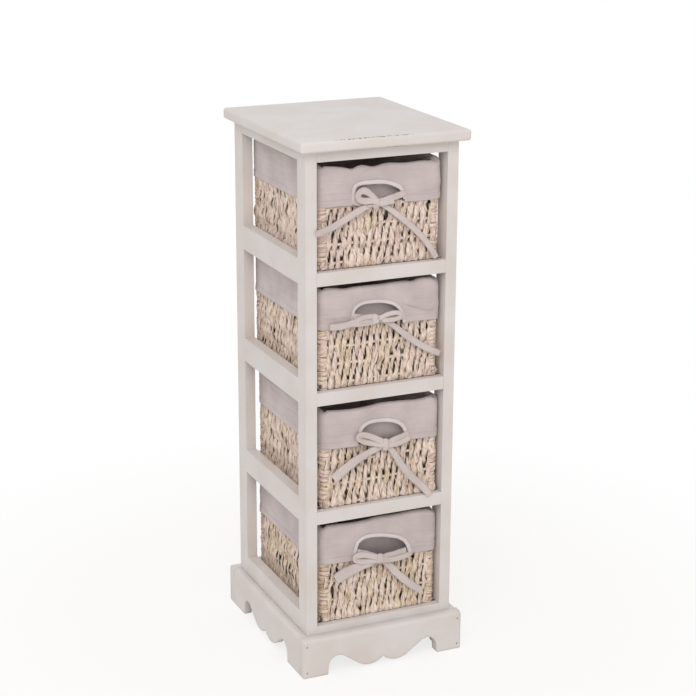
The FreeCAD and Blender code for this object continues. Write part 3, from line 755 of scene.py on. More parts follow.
def addPlinthBoard(face):
    shape = plinthShape
    node = face + "_plinth"
    low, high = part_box(node)
    lengthwise, through = (0, 1) if face in ("front", "back") else (1, 0)
    outer, inner = (low, high) if face in ("front", "left") else (high, low)
    thick = abs(inner[through] - outer[through])
    sign = 1 if inner[through] > outer[through] else -1
    half, middle = (high[lengthwise] - low[lengthwise]) / 2, (high[lengthwise] + low[lengthwise]) / 2
    ease, big = shape["arris"], shape["topRound"]
    turns = [math.pi / 2 * step / shape["roundSteps"] for step in range(shape["roundSteps"] + 1)]
    right = scallopHeights() + [(half - shape["endStrip"], 0), (half - ease, 0), (half, 0)]
    left = [(-along, height) for along, height in right[:0:-1]]
    rings, wear = [], []
    for along, height in left + right:
        shrink = ease if abs(along) > half - ease / 2 else 0
        base, top, back = height + shrink, high.z - shrink, thick - shrink
        # Depth, height and wear round the section, from its lower back edge over the front to the back
        section = [(back - ease, base, 1), (shrink + ease, base, 1), (shrink, base + ease, 1),
                   (shrink, base + ease + shape["rubbed"], 0), (shrink, top - big - shape["rubbedTop"], 0)]
        section += [(shrink + big * (1 - math.cos(turn)), top - big * (1 - math.sin(turn)), 0.8)
                    for turn in turns]
        section += [(back - ease, top, 1), (back, top - ease, 1), (back, base + ease + shape["rubbed"], 0),
                    (back, base + ease, 1)]
        ring = []
        for depth, up, worn in section:
            point = Vector((0, 0, up))
            point[lengthwise] = middle + along
            point[through] = outer[through] + sign * depth
            ring.append(point)
            wear.append(1.0 if abs(along) > half - 2 * ease else worn)
        rings.append(ring)
    mesh = ringMesh(node + "_sawn", [rings], marks={"wear": wear})
    makePiece(node + "_sawn", mesh, grains[face], "shelf", "painted_wood", node)


for face in grains:
    addPlinthBoard(face)
print("top board and plinth made")


# Nails: bright steel pins gone dull, of which only the small round heads show

nailShape = {"radius": 1.25 * mm, "dome": 0.35, "fromEnd": 7 * mm, "heights": (10 * mm, 57 * mm)}
steelLook = {
    "speck": 0.9 * mm, "tones": [(0.4, "#5b4f49"), (0.65, "#857a73")], "metallic": 0.6, "roughness": 0.5}


def dullSteel():
    look = steelLook
    material, add = newMaterial("dulled steel")
    place = add("TexCoord").outputs["Object"]
    rust = add("TexNoise", {"Vector": place, "Scale": 1 / look["speck"], "Detail": 3})
    colour = add("ValToRGB", [rust], look["tones"])
    endMaterial(add, {"Base Color": colour, "Metallic": look["metallic"], "Roughness": look["roughness"]})
    return material


def nailTree():
    tree, add, given = newTree("nailHeads", {
        "Places": "Object", "Radius": "Float", "Dome": "Float", "Steel": "Material"})
    places = add("GeometryNodeObjectInfo", [given["Places"]]).outputs["Geometry"]
    head = add("GeometryNodeMeshUVSphere", {"Segments": 10, "Rings": 6, "Radius": given["Radius"]})
    flat = add("CombineXYZ", [1, given["Dome"], 1])
    heads = add("GeometryNodeInstanceOnPoints", {"Points": places, "Instance": head, "Scale": flat})
    endTree(add, heads, given["Steel"])
    return tree


def addNails():
    low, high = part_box("front_plinth")
    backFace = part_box("back_plinth")[1].y
    places = [(x, y, z) for x in (low.x + nailShape["fromEnd"], high.x - nailShape["fromEnd"])
              for y in (low.y, backFace) for z in nailShape["heights"]]
    spots = addObject("nailSpots", newMesh("nailSpots", places, []))
    steel = dullSteel()
    mesh = grown(nailTree(), Places=spots, Radius=nailShape["radius"], Dome=nailShape["dome"], Steel=steel)
    makePiece("plinth_nail_heads", mesh, steel, "shelf", "nail_steel", "plinth_nails")


addNails()
print("nails made")


# Twisted leaf: dried leaf rolled by hand into flat strands. The eye gets cream and straw colours that
# differ from strand to strand, fine streaks and slanting creases, and painted shade in hollows, creases and
# at edges.

leafLook = {
    "tones": [(0.0, "#cfb89d"), (0.22, "#ddc9b2"), (0.45, "#e6d3c5"), (0.62, "#ddc8ba"), (0.8, "#e4cfc4"),
              (1.0, "#d7c0b3")],
    # colour of the painted shade in the hollows, along the creases and at the strands' edges
    "hollowShade": "#20130b",
    "dark": "#74583f",                   # fibres that have browned
    "pale": "#f6ece0",                   # fibres that have bleached
    "streak": (0.5, 8 * mm),             # share of a strand's half width, and along it
    "fibre": (0.52, 15 * mm),
    "sway": 0.6,                         # how far streaks change a strand's tone
    "crease": 14 * mm,                   # from one slanting crease to the next
    "slant": 0.4,
    "hollowAlong": 22 * mm,              # between deep and shallow painted shade in the hollows
    "deepestShade": (0.38, 0.56, 0.8, 1),     # by chance, how dark the painted shade in a hollow is
    "hollowFrom": (-0.8, -0.35),         # heights of the strand where painted shade begins
    "creaseShade": (-1, -0.2, 0.12, 0),   # across a crease, and how dark the painted shade in it is
    "edgeShade": (0.72, 1, 0, 0.74),      # across a strand, and how dark the painted shade at its edges is
    "browned": (0.46, 0.35, 0, 0.55),    # fibres, and how brown they are
    "bleached": (0.52, 0.62, 0, 0.6),
    "creaseHigh": 0.15,
}


def twistedLeaf():
    look = leafLook
    material, add = newMaterial("twisted dried leaf")
    tone, along, side, hump = [add("Attribute", attribute_name=mark).outputs["Fac"]
                               for mark in ("tone", "along", "side", "hump")]
    apart = add("Math", [tone, 60], operation="MULTIPLY")   # keeps the patterns of two strands apart
    drawn = []
    for (wide, long), detail, roughness in ((look["streak"], 3, 0.65), (look["fibre"], 2, 0.6)):
        over = add("Math", [side, 1 / wide], operation="MULTIPLY")
        down = add("Math", [along, 1 / long], operation="MULTIPLY")
        lay = add("CombineXYZ", [over, down, apart])
        drawn.append(add("TexNoise", {"Vector": lay, "Scale": 1, "Detail": detail, "Roughness": roughness}))
    streaks, fibres = drawn
    sway = add("Math", [streaks, look["sway"], tone], operation="MULTIPLY_ADD")
    centred = add("Math", [sway, look["sway"] / 2], operation="SUBTRACT")
    colour = add("ValToRGB", [centred], look["tones"])
    slope = add("Math", [side, look["slant"], apart], operation="MULTIPLY_ADD")
    slant = add("Math", [along, 1 / look["crease"], slope], operation="MULTIPLY_ADD")
    angle = add("Math", [slant, 2 * math.pi], operation="MULTIPLY")
    crease = add("Math", [angle], operation="SINE")
    # Painted shade in the hollows behind the rods, along the creases and at the strands' edges
    stretch = add("Math", [along, 1 / look["hollowAlong"]], operation="MULTIPLY")
    spread = add("CombineXYZ", [apart, stretch])
    chance = add("TexNoise", {"Vector": spread, "Scale": 1, "Detail": 1})
    deepestShade = add("MapRange", [chance, *look["deepestShade"]])
    depth = add("MapRange", [hump, *look["hollowFrom"], deepestShade, 0])
    dim = add("MapRange", [crease, *look["creaseShade"]])
    out = add("Math", [side], operation="ABSOLUTE")
    edge = add("MapRange", [out, *look["edgeShade"]])
    lines = add("Math", [edge, dim], operation="MAXIMUM")
    shade = add("Math", [depth, lines], operation="MAXIMUM")
    browned = add("MapRange", [fibres, *look["browned"]])
    bleached = add("MapRange", [fibres, *look["bleached"]])
    for share, tint in ((browned, "dark"), (bleached, "pale"), (shade, "hollowShade")):
        colour = add("Mix", {0: share, 6: colour, 7: linear(look[tint])}, data_type="RGBA").outputs[2]
    height = add("Math", [crease, look["creaseHigh"], fibres], operation="MULTIPLY_ADD")
    bump = add("Bump", {"Height": height, "Strength": 0.6, "Distance": 1.4 * mm})
    endMaterial(add, {"Base Color": colour, "Normal": bump, "Roughness": 0.68, "Specular IOR Level": 0.3})
    return material


leaf = twistedLeaf()


# Weave: upright strands that pass over and under level rods, alternate strands the other way, with the
# corners bound round by bands of leaf

weaveShape = {
    "tone": {"bottom": (0, 0.62), "lower": (0.1, 0.85), "upper": (0.15, 0.9), "top": (0.25, 1)},
    "spacing": {"bottom": 5.35 * mm, "lower": 6.2 * mm, "upper": 5.7 * mm, "top": 6.1 * mm},
    "rodPitch": {"bottom": 34 * mm, "lower": 36 * mm, "upper": 31 * mm, "top": 29.3 * mm},
    "firstRod": {"bottom": 4.5 * mm, "lower": 4 * mm, "upper": 10 * mm, "top": 10.5 * mm},
    "rodRadius": 2.5 * mm, "rodWander": 1.2 * mm, "rodOut": 0.2 * mm, "rodHump": 0.1,
    "rodSpacing": 13 * mm, "rodTurn": 5,   # between a rod's points, and how many steps it takes at a corner
    # Shares of the spacing: half width, behind a rod, passing between rods, over a rod
    "front": (0.95, 0.95, 0.64, 0.96), "sidewall": (1.12, 1, 0.8, 1),
    "coarse": 1.35,   # how much wider the strands of the left and right walls are
    "swing": 2.1 * mm, "flat": 0.28, "lean": 1.0 * mm, "twist": 0.4, "wander": 3.7 * mm,
    "girth": (0.74, 1.28), "early": 0.09, "swell": 0.14, "slow": 33 * mm, "quick": 9 * mm,
    "calm": 0.3, "calmOver": 8 * mm, "calmBefore": 10 * mm,
    "toe": (0, 3 * mm, 0.75, 1), "footSpread": (5 * mm, 12 * mm, 1.4, 1),
    "rings": 44, "floorRings": 34, "bridgeRings": 6, "sides": 8, "rodSides": 6, "bandSides": 7,
    "wall": 7 * mm, "corner": 12.5 * mm, "belowRim": 9 * mm, "underFlap": 60 * mm, "footUp": 0.8 * mm,
    "frontPast": 2 * mm, "sideShort": 2.5 * mm,   # how far runs reach into a corner, or stop short of it
    "bandPitch": 7.4 * mm, "bandHalf": 4.3 * mm, "bandFlat": 0.44, "bandSweep": 112, "bandHump": 0.9,
    "bandGirth": (0.95, 1.15), "bandSteps": 8,
    "bandIn": 0.9 * mm, "bandInFlap": 1.4 * mm, "bandTuck": 2.6 * mm,
    "holeWide": 96 * mm, "holeDrop": 35 * mm, "holeHigh": 28 * mm, "holeOver": 4 * mm, "barHigh": 18 * mm,
    "floorUp": 3 * mm,
}


def strandChance(add, given, girth):
    # Each strand's tone and girth, by chance
    tone = add("FunctionNodeRandomValue", {
        2: given["Tone low"], 3: given["Tone high"], "Seed": given["Seed"]})
    otherSeed = add("Math", [given["Seed"], 17], operation="ADD")
    thick = add("FunctionNodeRandomValue", {2: girth[0], 3: girth[1], "Seed": otherSeed})
    return tone.outputs[1], thick.outputs[1]


def swept(add, curves, width, given):
    # Ends a tree by drawing a flattened round section along its curves
    circle = add("GeometryNodeCurvePrimitiveCircle", {"Resolution": given["Strand sides"], "Radius": 1})
    around = add("Math", [add("GeometryNodeSplineParameter"), 2 * math.pi], operation="MULTIPLY")
    side = add("Math", [around], operation="SINE")
    named = add("GeometryNodeStoreNamedAttribute", {"Geometry": circle, "Name": "side", "Value": side})
    squash = add("CombineXYZ", [given["Flat"], 1, 1])
    section = add("GeometryNodeTransform", {"Geometry": named, "Scale": squash})
    skin = add("GeometryNodeCurveToMesh", {
        "Curve": curves, "Profile Curve": section, "Scale": width, "Fill Caps": True})
    endTree(add, skin, given["Leaf"])


def strandTree():
    shape = weaveShape
    sizes = ("Spacing", "Rod pitch", "First rod", "Swing", "Half width", "Behind", "Squeeze", "Waist", "Flat",
             "Wander", "Lean", "Twist", "Calm from", "Hole middle", "Hole half", "Hole front", "Hole share",
             "Tone low", "Tone high")
    tree, add, given = newTree("leafStrands", {
        "Sides": "Object", "Run": "Vector", "Rings": "Int", "Strand sides": "Int", "Seed": "Int",
        "Leaf": "Material", **dict.fromkeys(sizes, "Float")})
    sides = add("GeometryNodeObjectInfo", [given["Sides"]]).outputs["Geometry"]
    spots = add("GeometryNodeCurveToPoints", {
        "Curve": sides, "Length": given["Spacing"]}, mode="LENGTH").outputs
    square = add("VectorMath", [spots["Tangent"], given["Run"]], operation="CROSS_PRODUCT")
    outward = add("VectorMath", [square], operation="NORMALIZE")
    tone, girth = strandChance(add, given, shape["girth"])
    index = add("GeometryNodeInputIndex")
    single, vector = "FLOAT", "FLOAT_VECTOR"
    marked = spots["Points"]
    for name, kind, value in (("outward", vector, outward), ("sideways", vector, spots["Tangent"]),
                              ("strand", single, index), ("tone", single, tone), ("girth", single, girth)):
        marked = add("GeometryNodeStoreNamedAttribute", {
            "Geometry": marked, "Name": name, "Value": value}, data_type=kind, domain="POINT")
    read = {}
    for name, kind in (("outward", vector), ("sideways", vector), ("strand", single), ("girth", single),
                       ("along", single), ("hump", single)):
        read[name] = add("GeometryNodeInputNamedAttribute", {"Name": name}, data_type=kind).outputs[0]
    # Strands under the handle hole stop at its lower edge
    at = add("SeparateXYZ", [add("GeometryNodeInputPosition")]).outputs
    off = add("Math", [at["X"], given["Hole middle"]], operation="SUBTRACT")
    far = add("Math", [off], operation="ABSOLUTE")
    within = add("Math", [far, given["Hole half"]], operation="LESS_THAN")
    ahead = add("Math", [at["Y"], given["Hole front"]], operation="LESS_THAN")
    under = add("Math", [within, ahead], operation="MULTIPLY")
    shorter = add("MapRange", [under, 0, 1, 1, given["Hole share"]])
    line = add("GeometryNodeCurvePrimitiveLine", {"End": given["Run"]})
    ringed = add("GeometryNodeResampleCurve", {"Curve": line, "Count": given["Rings"]})
    placed = add("GeometryNodeInstanceOnPoints", {"Points": marked, "Instance": ringed, "Scale": shorter})
    real = add("GeometryNodeRealizeInstances", [placed])
    length = add("GeometryNodeSplineParameter").outputs["Length"]
    measured = add("GeometryNodeStoreNamedAttribute", {"Geometry": real, "Name": "along", "Value": length})
    # Hand-woven unevenness: each strand wanders sideways, crosses early or late, swells or thins and rolls
    apart = add("Math", [read["strand"], 3.71], operation="MULTIPLY")
    chances = []
    for reach in (shape["slow"], shape["quick"]):
        climb = add("Math", [read["along"], 1 / reach], operation="MULTIPLY")
        grain = add("CombineXYZ", [apart, climb, given["Seed"]])
        uneven = add("TexNoise", {"Vector": grain, "Scale": 1, "Detail": 1}).outputs["Color"]
        chances.append(add("SeparateXYZ", [uneven]).outputs)
    slow, quick = chances
    early, swell = shape["early"], shape["swell"]
    drift, shift, roll, lumps = [
        add("MapRange", [chance, 0.25, 0.75, least, most]) for chance, least, most in (
            (slow["X"], -1, 1), (slow["Y"], -early, early), (slow["Z"], -1, 1),
            (quick["X"], 1 - swell, 1 + swell))]
    # Over one rod and under the next
    fromRod = add("Math", [read["along"], given["First rod"]], operation="SUBTRACT")
    rods = add("Math", [fromRod, given["Rod pitch"]], operation="DIVIDE")
    shifted = add("Math", [rods, shift], operation="ADD")
    turn = add("Math", [shifted, read["strand"]], operation="ADD")
    angle = add("Math", [turn, math.pi], operation="MULTIPLY")
    wave = add("Math", [angle], operation="COSINE")
    waved = add("GeometryNodeStoreNamedAttribute", {"Geometry": measured, "Name": "hump", "Value": wave})
    zigzag = add("Math", [angle], operation="SINE")
    leaning = add("Math", [zigzag, given["Lean"]], operation="MULTIPLY")
    size = add("Math", [drift], operation="ABSOLUTE")
    stray = add("Math", [drift, size], operation="MULTIPLY")
    aside = add("Math", [stray, given["Wander"], leaning], operation="MULTIPLY_ADD")
    # Under the flap the strands lie flatter
    calmEnd = add("Math", [given["Calm from"], shape["calmOver"]], operation="ADD")
    calm = add("MapRange", [read["along"], given["Calm from"], calmEnd, 1, shape["calm"]])
    rise = add("Math", [read["hump"]], operation="ABSOLUTE")
    out = read["hump"]
    for share in (rise, calm, given["Swing"]):
        out = add("Math", [out, share], operation="MULTIPLY")
    outMove = add("VectorMath", {0: read["outward"], "Scale": out}, operation="SCALE")
    sideMove = add("VectorMath", {0: read["sideways"], "Scale": aside}, operation="SCALE")
    move = add("VectorMath", [outMove, sideMove], operation="ADD")
    bent = add("GeometryNodeSetPosition", {"Geometry": waved, "Offset": move})
    facing = add("GeometryNodeSetCurveNormal", {"Curve": bent, "Normal": read["outward"]}, mode="FREE")
    tilt = roll
    for share in (calm, given["Twist"]):
        tilt = add("Math", [tilt, share], operation="MULTIPLY")
    turned = add("GeometryNodeSetCurveTilt", {"Curve": facing, "Tilt": tilt})
    # Narrower between rods, behind and over them, and spread at the foot
    width = add("MapRange", [rise, 0.3, 0.75, given["Squeeze"], 1])
    hidden = add("MapRange", [read["hump"], -1, 0, given["Behind"], 1])
    pinched = add("MapRange", [read["hump"], 0.5, 1, 1, given["Waist"]])
    spread = add("MapRange", [read["along"], *shape["footSpread"]])
    toe = add("MapRange", [read["along"], *shape["toe"]])
    for share in (hidden, pinched, read["girth"], lumps, spread, toe, given["Half width"]):
        width = add("Math", [width, share], operation="MULTIPLY")
    swept(add, turned, width, given)
    return tree


def bandTree():
    tree, add, given = newTree("leafBands", {
        "Runs": "Object", "Half width": "Float", "Flat": "Float", "Strand sides": "Int", "Hump": "Float",
        "Tone low": "Float", "Tone high": "Float", "Seed": "Int", "Leaf": "Material"})
    marked = add("GeometryNodeObjectInfo", [given["Runs"]]).outputs["Geometry"]
    tone, girth = strandChance(add, given, weaveShape["bandGirth"])
    length = add("GeometryNodeSplineParameter").outputs["Length"]
    # The hump stored here is read only by the leaf's painted hollow shade
    for name, domain, value in (("tone", "CURVE", tone), ("along", "POINT", length),
                                ("hump", "POINT", given["Hump"]), ("girth", "CURVE", girth)):
        marked = add("GeometryNodeStoreNamedAttribute", {
            "Geometry": marked, "Name": name, "Value": value}, domain=domain)
    share = add("GeometryNodeInputNamedAttribute", {"Name": "girth"}, data_type="FLOAT").outputs[0]
    width = add("Math", [share, given["Half width"]], operation="MULTIPLY")
    level = add("GeometryNodeSetCurveNormal", {"Curve": marked}, mode="Z_UP")
    swept(add, level, width, given)
    return tree


strands, bands = strandTree(), bandTree()


def addWeave(bay):
    shape = weaveShape
    node = f"basket_{bay}_weave"
    low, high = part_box(node)
    middle, half = (low + high) / 2, (high - low) / 2
    number = bays.index(bay)
    tall, brim, inset = high.z - low.z, high.z - shape["belowRim"], shape["wall"] / 2
    notch = flapShape[bay]["notch"]
    hole, holeHalf = (notch[0][0] + notch[-1][0]) / 2, shape["holeWide"] / 2
    holeLow = shape["holeDrop"] + shape["holeHigh"]   # below the rim
    wallBack = low.y + 2 * inset
    dice = random.Random(101 + number)
    leafy = {"Tone low": shape["tone"][bay][0], "Tone high": shape["tone"][bay][1], "Leaf": leaf}

    def strandRun(runs, rise, rings, seed, shares=shape["sidewall"], coarse=1, cut=0,
                  calm=tall - shape["underFlap"] - shape["calmBefore"]):
        spacing = coarse * shape["spacing"][bay]
        halfWidth, behind, squeeze, waist = shares
        return grown(strands, **leafy, **{
            "Sides": pathCurve("sides", runs), "Run": rise, "Rings": rings, "Spacing": spacing,
            "Rod pitch": shape["rodPitch"][bay], "First rod": shape["firstRod"][bay], "Swing": shape["swing"],
            "Half width": halfWidth * spacing, "Behind": behind, "Squeeze": squeeze, "Waist": waist,
            "Flat": shape["flat"] / coarse, "Wander": shape["wander"], "Lean": shape["lean"],
            "Twist": shape["twist"], "Calm from": calm, "Strand sides": shape["sides"],
            "Hole middle": hole, "Hole half": cut, "Hole front": wallBack,
            "Hole share": (tall - holeLow) / (tall - shape["belowRim"]), "Seed": seed + number})

    def bandRun(runs, closed, width, flat, sides, hump, seed):
        return grown(bands, **leafy, **{
            "Runs": pathCurve("runs", runs, closed=closed), "Half width": width, "Flat": flat,
            "Strand sides": sides, "Hump": hump, "Seed": seed + number})

    # The four sides, at the middle of the wall and between the corners, anticlockwise from the front
    x, y, foot = half.x - inset, half.y - inset, low.z + shape["footUp"]
    endX = half.x - shape["corner"] + shape["frontPast"]
    endY = half.y - shape["corner"] - shape["sideShort"]
    ends = (((-endX, -y), (endX, -y)), ((x, -endY), (x, endY)),
            ((endX, y), (-endX, y)), ((-x, endY), (-x, -endY)))
    front, right, back, left = [[(middle.x + a, middle.y + b, foot) for a, b in side] for side in ends]
    rise = (0, 0, tall - shape["belowRim"])
    meshes = [strandRun([front], rise, shape["rings"], 11, shape["front"], cut=holeHalf),
              strandRun([back], rise, shape["rings"], 21),
              strandRun([right, left], rise, shape["rings"], 25, coarse=shape["coarse"])]
    # Short strands over the handle hole
    bar = high.z - shape["barHigh"]
    bridge = [(hole - holeHalf, low.y + inset, bar), (hole + holeHalf, low.y + inset, bar)]
    meshes.append(strandRun([bridge], (0, 0, brim - bar), shape["bridgeRings"], 31, shape["front"],
                            calm=-shape["calmBefore"]))
    # Floor strands, from front to back
    inside, floorLevel = half.x - 2 * inset, low.z + shape["floorUp"]
    floor = [(middle.x + inside, wallBack, floorLevel), (middle.x - inside, wallBack, floorLevel)]
    meshes.append(strandRun([floor], (0, 2 * half.y - 4 * inset, 0), shape["floorRings"], 51))
    # Level rods round the basket; the one that would cross the handle hole stops at its edges
    out = shape["rodOut"] - inset
    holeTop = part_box(f"basket_{bay}_liner")[1].z + max(up for across, up in notch) + shape["holeOver"]
    outline = roundedOutline(half.x + out, half.y + out, shape["corner"] + out, shape["rodTurn"],
                             (shape["rodSpacing"],) * 4)
    whole, parted = [], []
    first, pitch = shape["firstRod"][bay], shape["rodPitch"][bay]
    for step in range(int((brim - low.z - first - 5 * mm) / pitch) + 1):
        height = low.z + first + step * pitch
        height += dice.uniform(-1, 1) * shape["rodWander"] if step else 0
        ring = [(middle.x + p.x, middle.y + p.y, height + dice.uniform(-1.2, 1.2) * mm)
                for p, outward, run in outline]
        if high.z - holeLow < height < holeTop:
            before = max(i for i, p in enumerate(ring) if p[1] < wallBack and p[0] < hole - holeHalf)
            after = min(i for i, p in enumerate(ring) if p[1] < wallBack and p[0] > hole + holeHalf)
            parted.append(ring[after:] + ring[:before + 1])
        else:
            whole.append(ring)
    whole.append([(middle.x + p.x, middle.y + p.y, brim) for p, outward, run in outline])
    for rods, closed, seed in ((whole, True, 71), (parted, False, 75)):
        meshes.append(bandRun(rods, closed, shape["rodRadius"], 1, shape["rodSides"], shape["rodHump"], seed))
    # Bands of leaf wound round the corners
    turns = []
    for signX, signY, start in ((1, 1, 0), (-1, 1, 90), (-1, -1, 180), (1, -1, 270)):
        hub = Vector((middle.x + signX * (half.x - shape["corner"]),
                      middle.y + signY * (half.y - shape["corner"])))
        height = low.z + shape["bandHalf"] * 0.85
        while height < brim - shape["bandHalf"]:
            sweep = shape["bandSweep"] + dice.uniform(-10, 10)
            begin = start + 45 - sweep / 2 + dice.uniform(-4, 4)
            tilt = dice.uniform(-2, 2) * mm
            radius = shape["corner"] - shape["bandIn"] + dice.uniform(-0.8, 0.5) * mm
            radius -= shape["bandInFlap"] if height > high.z - shape["underFlap"] else 0
            band = []
            for step in range(shape["bandSteps"] + 1):
                share = step / shape["bandSteps"]
                angle = math.radians(begin + sweep * share)
                tuck = radius - shape["bandTuck"] * abs(2 * share - 1) ** 4
                band.append((hub.x + tuck * math.cos(angle), hub.y + tuck * math.sin(angle),
                             height + tilt * (2 * share - 1)))
            turns.append(band)
            height += shape["bandPitch"] * dice.uniform(0.9, 1.1)
    meshes.append(bandRun(turns, False, shape["bandHalf"], shape["bandFlat"], shape["bandSides"],
                          shape["bandHump"], 81))
    mesh = joined(node + "_leaf", meshes)
    return makePiece(node + "_leaf", mesh, leaf, "basket_" + bay, "woven_leaf", node)


# Liners: thin cotton bags turned out over the rim, with a notch in the front flap

linerShape = {
    "thick": 1.1 * mm, "clear": 1.2 * mm, "bagGap": 3.2 * mm,
    "frontSpacing": 1.9 * mm, "sideSpacing": 4.5 * mm,
    "flapRows": 42, "rimRows": 7, "wallRows": 18, "floorRows": 7, "cornerSteps": 7,
    "ripple": (0.75 * mm, 50 * mm, 6 * mm),     # how deep, along and up
    "billow": (1.2 * mm, 70 * mm, 45 * mm),
    "rimWave": (2.6 * mm, 32 * mm), "rimRipple": (1.5 * mm, 13 * mm), "edgeWave": (1 * mm, 40 * mm),
    "sideEdge": -66 * mm, "cornerDrop": 3 * mm, "rollOver": 1.5 * mm, "rollHigh": 0.8,
    "sideBulge": 4.4 * mm, "bulgeReach": 55 * mm, "bulgeClear": 1.6 * mm, "bulgeWave": 13 * mm,
    "foldOver": 6 * mm, "foldUnder": 1.7 * mm, "foldEnd": 9 * mm,
    "slackIn": 8 * mm, "slackFrom": 0.36, "slack": (1.6 * mm, 50 * mm, 40 * mm), "slackOut": 0.6 * mm,
    "floorUp": 1.5 * mm, "floorTurn": 3 * mm, "floorWave": 1.2 * mm,
    "hem": 10.5 * mm, "hemThick": 0.45 * mm, "hemStep": 1.5 * mm,
    "flat": (0.664, 0.732), "flatArea": 0.267,
}

# Lower edge of the front flap at its left and right end, how far the bag hangs back behind the handle
# hole, the flap's crest from left to right, its folds with how far each stands out, and the middle line
# of the binding round the notch from its left foot to its right one: across from the shelf's middle and
# up from the rim, in metres
flapShape = {
    "top": {"left": -0.0645, "right": -0.0685, "behind": 1 * mm,
            "crest": [(-0.105, 0.002), (-0.080, -0.001), (-0.062, -0.0035), (-0.047, -0.0085),
                      (-0.035, -0.002), (-0.022, -0.0045), (-0.010, -0.0075), (0.010, -0.002),
                      (0.028, -0.0035), (0.045, -0.0055), (0.075, -0.003), (0.090, -0.006),
                      (0.105, -0.004)],
            "folds": [([(-0.104, -0.0440), (-0.082, -0.0405), (-0.054, -0.0440)], 1.4 * mm),
                      ([(-0.088, -0.0290), (-0.072, -0.0275), (-0.052, -0.0300)], 1.1 * mm),
                      ([(0.046, -0.0530), (0.072, -0.0515), (0.103, -0.0480)], 1.2 * mm)],
            "notch": [(-0.0485, -0.064), (-0.0480, -0.050), (-0.0475, -0.036), (-0.0375, -0.0305),
                      (-0.0180, -0.0300), (0.0050, -0.0310), (0.0250, -0.0375), (0.0385, -0.0470),
                      (0.0420, -0.062)]},
    "upper": {"left": -0.0655, "right": -0.0700, "behind": 1 * mm,
              "crest": [(-0.105, 0.004), (-0.080, 0.003), (-0.063, -0.0018), (-0.040, 0.0006),
                        (0.000, -0.0007), (0.048, 0.0012), (0.058, -0.0022), (0.074, 0.003),
                        (0.090, 0.0016), (0.105, -0.001)],
              "folds": [([(0.0400, -0.0345), (0.0560, -0.0400), (0.0720, -0.0465), (0.0880, -0.0520),
                          (0.1040, -0.0500)], 3.4 * mm),
                        ([(-0.103, -0.0450), (-0.078, -0.0470), (-0.052, -0.0450)], 1.5 * mm),
                        ([(-0.094, -0.0320), (-0.078, -0.0310), (-0.054, -0.0335)], 1.1 * mm)],
              "notch": [(-0.0490, -0.0630), (-0.0475, -0.0490), (-0.0465, -0.0355), (-0.0335, -0.0272),
                        (-0.0120, -0.0265), (0.0080, -0.0285), (0.0280, -0.0355), (0.0405, -0.0510),
                        (0.0430, -0.0680)]},
    "lower": {"left": -0.0630, "right": -0.0690, "behind": 1 * mm,
              "crest": [(-0.105, 0.003), (-0.090, 0.002), (-0.047, -0.0013), (-0.020, -0.0006),
                        (0.005, 0.003), (0.040, 0.0018), (0.075, -0.0008), (0.095, 0.0024),
                        (0.105, 0.001)],
              "folds": [([(-0.102, -0.0390), (-0.074, -0.0415), (-0.044, -0.0385)], 1.1 * mm)],
              "notch": [(-0.0360, -0.0580), (-0.0345, -0.0460), (-0.0320, -0.0335), (-0.0180, -0.0260),
                        (0.0010, -0.0255), (0.0180, -0.0275), (0.0360, -0.0335), (0.0480, -0.0460),
                        (0.0510, -0.0620)]},
    "bottom": {"left": -0.0610, "right": -0.0700, "behind": 12 * mm,
               "crest": [(-0.105, 0.0055), (-0.090, 0.0064), (-0.050, 0.004), (-0.020, 0.0043),
                         (0.000, 0.007), (0.030, 0.0058), (0.070, 0.008), (0.095, 0.0055),
                         (0.105, 0.004)],
               "folds": [([(-0.104, -0.0265), (-0.086, -0.0285), (-0.064, -0.0270)], 1.2 * mm),
                         ([(0.066, -0.0440), (0.084, -0.0490), (0.104, -0.0545)], 1.5 * mm)],
               "notch": [(-0.0430, -0.058), (-0.0415, -0.044), (-0.0385, -0.0310), (-0.0255, -0.0230),
                         (-0.0050, -0.0230), (0.0180, -0.0275), (0.0410, -0.0345), (0.0560, -0.0480),
                         (0.0600, -0.067)]},
}


def clothOut(run, height, seed):
    # How far the flap stands out of its plain place
    out = 0
    for (deep, long, high), shift in ((linerShape["ripple"], 0), (linerShape["billow"], 7.3)):
        out += deep * noise.noise(Vector((run / long, height / high, seed + shift)))
    return max(out, -0.4 * mm)


def notchHeight(line, across):
    # Height of a drawn line over a place, or None beside it
    best = None
    for a, b in zip(line, line[1:]):
        if min(a.x, b.x) <= across <= max(a.x, b.x) and abs(b.x - a.x) > 1e-7:
            height = a.z + (b.z - a.z) * (across - a.x) / (b.x - a.x)
            best = height if best is None else max(best, height)
    return best


def foldOut(folds, across, height):
    # How far the drawn folds stand out: each swells slowly from above and drops off sharply below
    out = 0
    for line, deep in folds:
        level = notchHeight(line, across)
        if level is not None:
            above = height - level
            reach = linerShape["foldOver"] if above > 0 else linerShape["foldUnder"]
            ends = min(1, min(across - line[0].x, line[-1].x - across) / linerShape["foldEnd"])
            out += deep * ends * math.exp(-(above / reach) ** 2)
    return out


def frontRun(outline, across):
    # Run of the outline at a place along the front
    front = [(point.x, run) for point, outward, run in outline if outward.y < -0.999]
    for (x0, run0), (x1, run1) in zip(front, front[1:]):
        if x0 <= across <= x1:
            return run0 + (run1 - run0) * (across - x0) / (x1 - x0)
    return front[0][1] if across < front[0][0] else front[-1][1]


